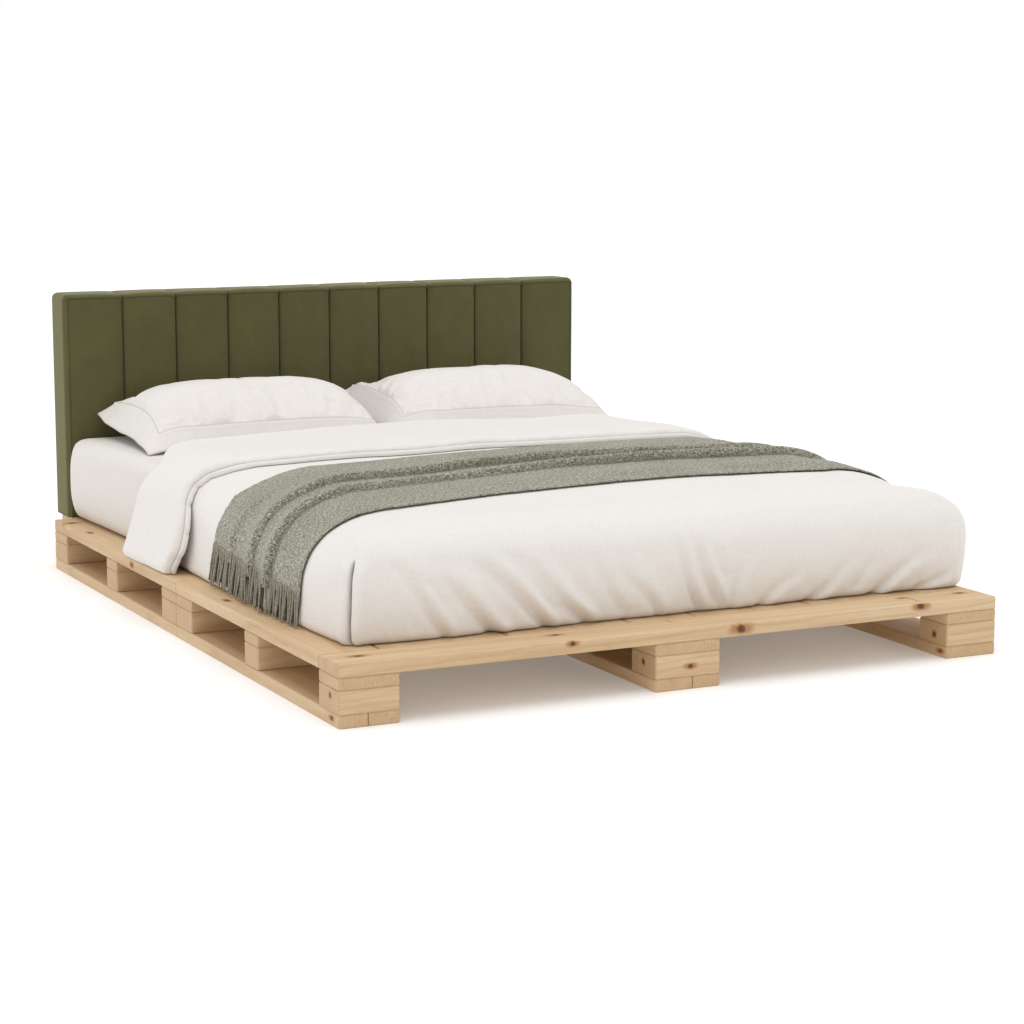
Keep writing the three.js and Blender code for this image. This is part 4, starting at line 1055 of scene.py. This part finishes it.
def headboard_pad():
    """The channelled cover: a box skin rounded at its front edges, drawn in at every seam, with small puckers beside
    the seams that come at even steps up the pad, a piped line round the front, and painted shade along the seams and
    beside the piping."""
    edges = channel_edges()
    spread = 0.5 - 0.5 * np.cos(np.linspace(0, math.pi, 25))[:-1]
    inside = np.concatenate([mix(left, right, spread) for left, right in zip(edges, edges[1:])])
    inside = inside[(inside > PAD_LOW.x + PAD_EDGE) & (inside < PAD_HIGH.x - PAD_EDGE)]
    rounding = PAD_EDGE * (1 - np.tan(np.linspace(math.pi / 4, 0, 7)))
    fine = np.linspace(-4 * MM, 4 * MM, 7)
    lines = (
        (PAD_LOW.x + rounding, inside, PAD_HIGH.x - rounding, PAD_LOW.x + PIPING + fine, PAD_HIGH.x - PIPING + fine),
        (stations(PAD_LOW.y, PAD_HIGH.y, PAD_EDGE, 0, 6 * MM),),
        (stations(PAD_LOW.z, PAD_HIGH.z, 0, PAD_EDGE, 9 * MM), PAD_HIGH.z - PIPING + fine),
    )
    lines = [np.unique(np.round(np.concatenate(parts), 5)) for parts in lines]
    points, quads, corner_places = box_skin(lines)[:3]
    place, out = round_over(points, tuple(PAD_LOW), tuple(PAD_HIGH), (PAD_EDGE, PAD_EDGE, 0), (PAD_EDGE, 0, PAD_EDGE))
    x, y, z = place.T
    box_x, box_y, box_z = points.T

    # Channels between the seams
    fall, across = channel_fall(x)
    across = np.abs(across)
    back = clamp((y - PAD_LOW.y) / (PAD_HIGH.y - PAD_LOW.y))
    depth = mix(19 * MM, 3 * MM, np.sqrt(back)) * (1 - 0.4 * clamp(out[:, 2]))
    facing = np.maximum(np.abs(out[:, 1]), out[:, 2]) * (out[:, 1] <= 0.5)
    pucker = 0.9 * MM * np.sin(z * 2 * math.pi / 0.021 + 9 * noise(place, 0.1, 61)) * across ** 6 * (1 - across ** 24)
    soft = swells(place, 1, 130, 62) * (1 - fall)
    push = (pucker + soft - depth * fall - 1.0 * MM) * facing

    # The piped line, painted shade along the seams and beside the piping, and the back, which lies just before its
    # cloth
    rim = np.minimum(np.minimum(box_x - PAD_LOW.x, PAD_HIGH.x - box_x), PAD_HIGH.z - box_z)
    front = box_y < PAD_LOW.y + 1 * MM
    push += 2 * MM * bell(rim - PIPING + 4 * MM, 3 * MM) * front
    from_seam = (1 - across) * CHANNEL_WIDTH / 2 + 0.05 * (fall <= 0)
    seam_painted_shade = 0.95 * bell(from_seam, 2.4 * MM) * (back < 0.9)
    piping_painted_shade = 0.6 * bell(rim - PIPING, 1.8 * MM) * front
    place = place + out * push[:, None]
    behind = (box_y > PAD_HIGH.y - 0.1 * MM) & (rim > PAD_EDGE)
    place[:, 1] = np.where(behind, BACK_CLOTH_FRONT - 1 * MM, place[:, 1])
    return mesh_object("headboard_cover", place, quads, corner_places[..., [0, 2]], np.maximum(seam_painted_shade, piping_painted_shade))


def build():
    """Every cloth piece of the bed, by a short name."""
    return {
        "mattress": mattress(), "duvet": duvet(), "band": band(), "throw": throw(),
        "fringe_left": fringe(-1), "fringe_right": fringe(1),
        "left": pillow(-1), "right": pillow(1), "pad": headboard_pad(),
    }


# The stage

FLOOR_REACH = 14.0
ROOM_LIGHT = 0.80
SUN_LIGHT = 1.05
SUN_TOWARDS = (0.12, 0.06, -1.0)
CAMERA_PLACE = (-2.9323, -6.1548, 1.3554)
CAMERA_TOWARDS = (0.43709, 0.88510, -0.15981)


def floor():
    """A wide flat floor."""
    corners = FLOOR_REACH * np.array([(-1, -1, 0), (1, -1, 0), (1, 1, 0), (-1, 1, 0)], float)
    obj = mesh_object("floor", corners, np.array([[0, 1, 2, 3]]))
    s = Shade("white_floor")
    colour = s.ramp(s.noise(s.place, 0.6, 2.0), (0.0, 0.89), (1.0, 0.91))
    dress(obj, s.finish(Base_Color=colour, Roughness=0.9, Emission_Strength=0.14))


def place_object(name, data, towards):
    """Adds a lamp or a camera that looks along a direction."""
    obj = bpy.data.objects.new(name, data)
    obj.rotation_euler = Vector(towards).to_track_quat("-Z", "Y").to_euler()
    bpy.context.scene.collection.objects.link(obj)
    return obj


def studio():
    """A soft sun from nearly overhead, with even light from all round, on a white background."""
    world = bpy.data.worlds.new("pale_room")
    world.use_nodes = True
    nodes, links = world.node_tree.nodes, world.node_tree.links
    even, white = nodes["Background"], nodes.new("ShaderNodeBackground")
    for light, strength in ((even, ROOM_LIGHT), (white, 1.0)):
        light.inputs["Color"].default_value = (1, 1, 1, 1)
        light.inputs["Strength"].default_value = strength
    chosen = nodes.new("ShaderNodeMixShader")
    links.new(nodes.new("ShaderNodeLightPath").outputs["Is Camera Ray"], chosen.inputs["Fac"])
    links.new(even.outputs["Background"], chosen.inputs[1])
    links.new(white.outputs["Background"], chosen.inputs[2])
    links.new(chosen.outputs["Shader"], nodes["World Output"].inputs["Surface"])
    bpy.context.scene.world = world
    sun = bpy.data.lights.new("sun", "SUN")
    sun.energy = SUN_LIGHT
    sun.angle = math.radians(50)
    place_object("sun", sun, SUN_TOWARDS)
    bpy.context.scene.view_settings.view_transform = "Standard"


def camera():
    """The photograph's view, fitted to the corners of the base."""
    lens = bpy.data.cameras.new("view")
    lens.lens = 89.82
    lens.sensor_width = 36.0
    lens.clip_end = 100.0
    obj = place_object("view", lens, CAMERA_TOWARDS)
    obj.location = CAMERA_PLACE
    bpy.context.scene.camera = obj


# Pine's colours: between the grain, along its warm streaks, and in its rings
PALE = (0.735, 0.55, 0.345)
WARM = (0.60, 0.405, 0.222)
DARK = (0.35, 0.19, 0.08)

# Knots, each a place and a radius: in the boards and blocks that run across the bed, and in those along it
CROSS_KNOTS = [
    ((0.142, -1.14, 0.130), 0.013), ((0.651, -1.14, 0.1395), 0.011), ((-0.302, -1.14, 0.137), 0.007),
    ((0.0066, -1.14, 0.0546), 0.0075), ((-0.310, -1.067, 0.144), 0.010), ((-0.801, -1.074, 0.144), 0.011),
    ((0.655, -1.055, 0.144), 0.008), ((0.818, -1.064, 0.144), 0.010), ((-0.086, -1.081, 0.0625), 0.009),
    ((0.73, -1.087, 0.0527), 0.010), ((-0.875, -1.09, 0.067), 0.008), ((-0.848, 0.938, 0.144), 0.013),
    ((-0.22, 1.02, 0.128), 0.011), ((0.46, 1.02, 0.122), 0.009), ((0.875, -0.10, 0.10), 0.010),
]
LONG_KNOTS = [
    ((0.73, -1.1135, 0.016), 0.007), ((-0.875, -1.097, 0.017), 0.007), ((-0.850, 0.754, 0.144), 0.010),
    ((-0.843, -0.35, 0.144), 0.010), ((-0.875, 0.30, 0.128), 0.009), ((0.875, -0.72, 0.130), 0.011),
    ((0.875, 0.55, 0.015), 0.009),
]

# Checks, each a place and its reach along X, Y and Z
CROSS_CHECKS = [((0.668, -1.083, 0.144), (0.0022, 0.034, 0.002)), ((0.0, -1.05, 0.144), (0.0016, 0.02, 0.002))]
LONG_CHECKS = [((0.012, -1.14, 0.015), (0.0016, 0.004, 0.03)), ((-0.806, -1.14, 0.015), (0.0016, 0.004, 0.03))]


def dress_wood():
    """Gives every board, block and post its pine, with the grain along it."""
    boards = pine("pine_lengthwise", "Y", PALE, WARM, DARK, LONG_KNOTS, LONG_CHECKS, pith=(2.3, 0.02))
    crosswise = pine("pine_crosswise", "X", PALE, WARM, DARK, CROSS_KNOTS, CROSS_CHECKS, pith=(1.6, -0.35))
    upright = pine("pine_upright", "Z", PALE, WARM, DARK)
    inner = pine("frame_timber", "Z", (0.50, 0.37, 0.23), (0.42, 0.29, 0.165), (0.27, 0.16, 0.08))
    for name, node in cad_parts.items():
        if name.endswith(("end_board", "_stringer", "_block")):
            material = crosswise
        elif name.endswith(("_board", "_runner", "_pad")) and name != "headboard_pad":
            material = boards
        elif name.startswith("headboard_post"):
            material = upright
        elif name == "headboard_frame":
            material = inner
        else:
            continue
        dress(node, material)


def main():
    """Sets the stage, dresses the wood, and makes and dresses every cloth piece, hangs it under its body and hides
    the solids it stands for.
    """
    camera()
    floor()
    studio()
    dress_wood()
    made = build()
    sheet_cotton = cotton("sheet_cotton", (0.80, 0.765, 0.725), (0.70, 0.66, 0.62))
    duvet_cotton = cotton("duvet_cotton", (0.83, 0.80, 0.765), (0.74, 0.705, 0.665))
    pillow_cotton = cotton("pillow_cotton", (0.82, 0.785, 0.75), (0.73, 0.69, 0.65))
    throw_wool = wool("throw_wool")
    strand_wool = fringe_wool("fringe_wool")
    velvet = olive_velvet("olive_velvet")
    lining = olive_velvet("lining_cloth")
    dressing = [
        ("mattress", sheet_cotton, "mattress_set", "sheet_cloth", ["mattress"]),
        ("duvet", duvet_cotton, "mattress_set", "duvet_cloth", ["duvet"]),
        ("band", duvet_cotton, "mattress_set", "duvet_cloth", ["duvet"]),
        ("throw", throw_wool, "mattress_set", "throw_wool", ["throw"]),
        ("fringe_left", strand_wool, "mattress_set", "throw_wool", ["throw"]),
        ("fringe_right", strand_wool, "mattress_set", "throw_wool", ["throw"]),
        ("left", pillow_cotton, "pillow_left", "pillow_cloth", ["pillow_left"]),
        ("right", pillow_cotton, "pillow_right", "pillow_cloth", ["pillow_right"]),
        ("pad", velvet, "base", "olive_cloth", ["headboard_pad"]),
    ]
    for key, material, body, slot, nodes in dressing:
        obj = made[key]
        dress(obj, material)
        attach(obj, body)
        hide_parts(*nodes)
    dress(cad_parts["headboard_back_cloth"], lining)


main()
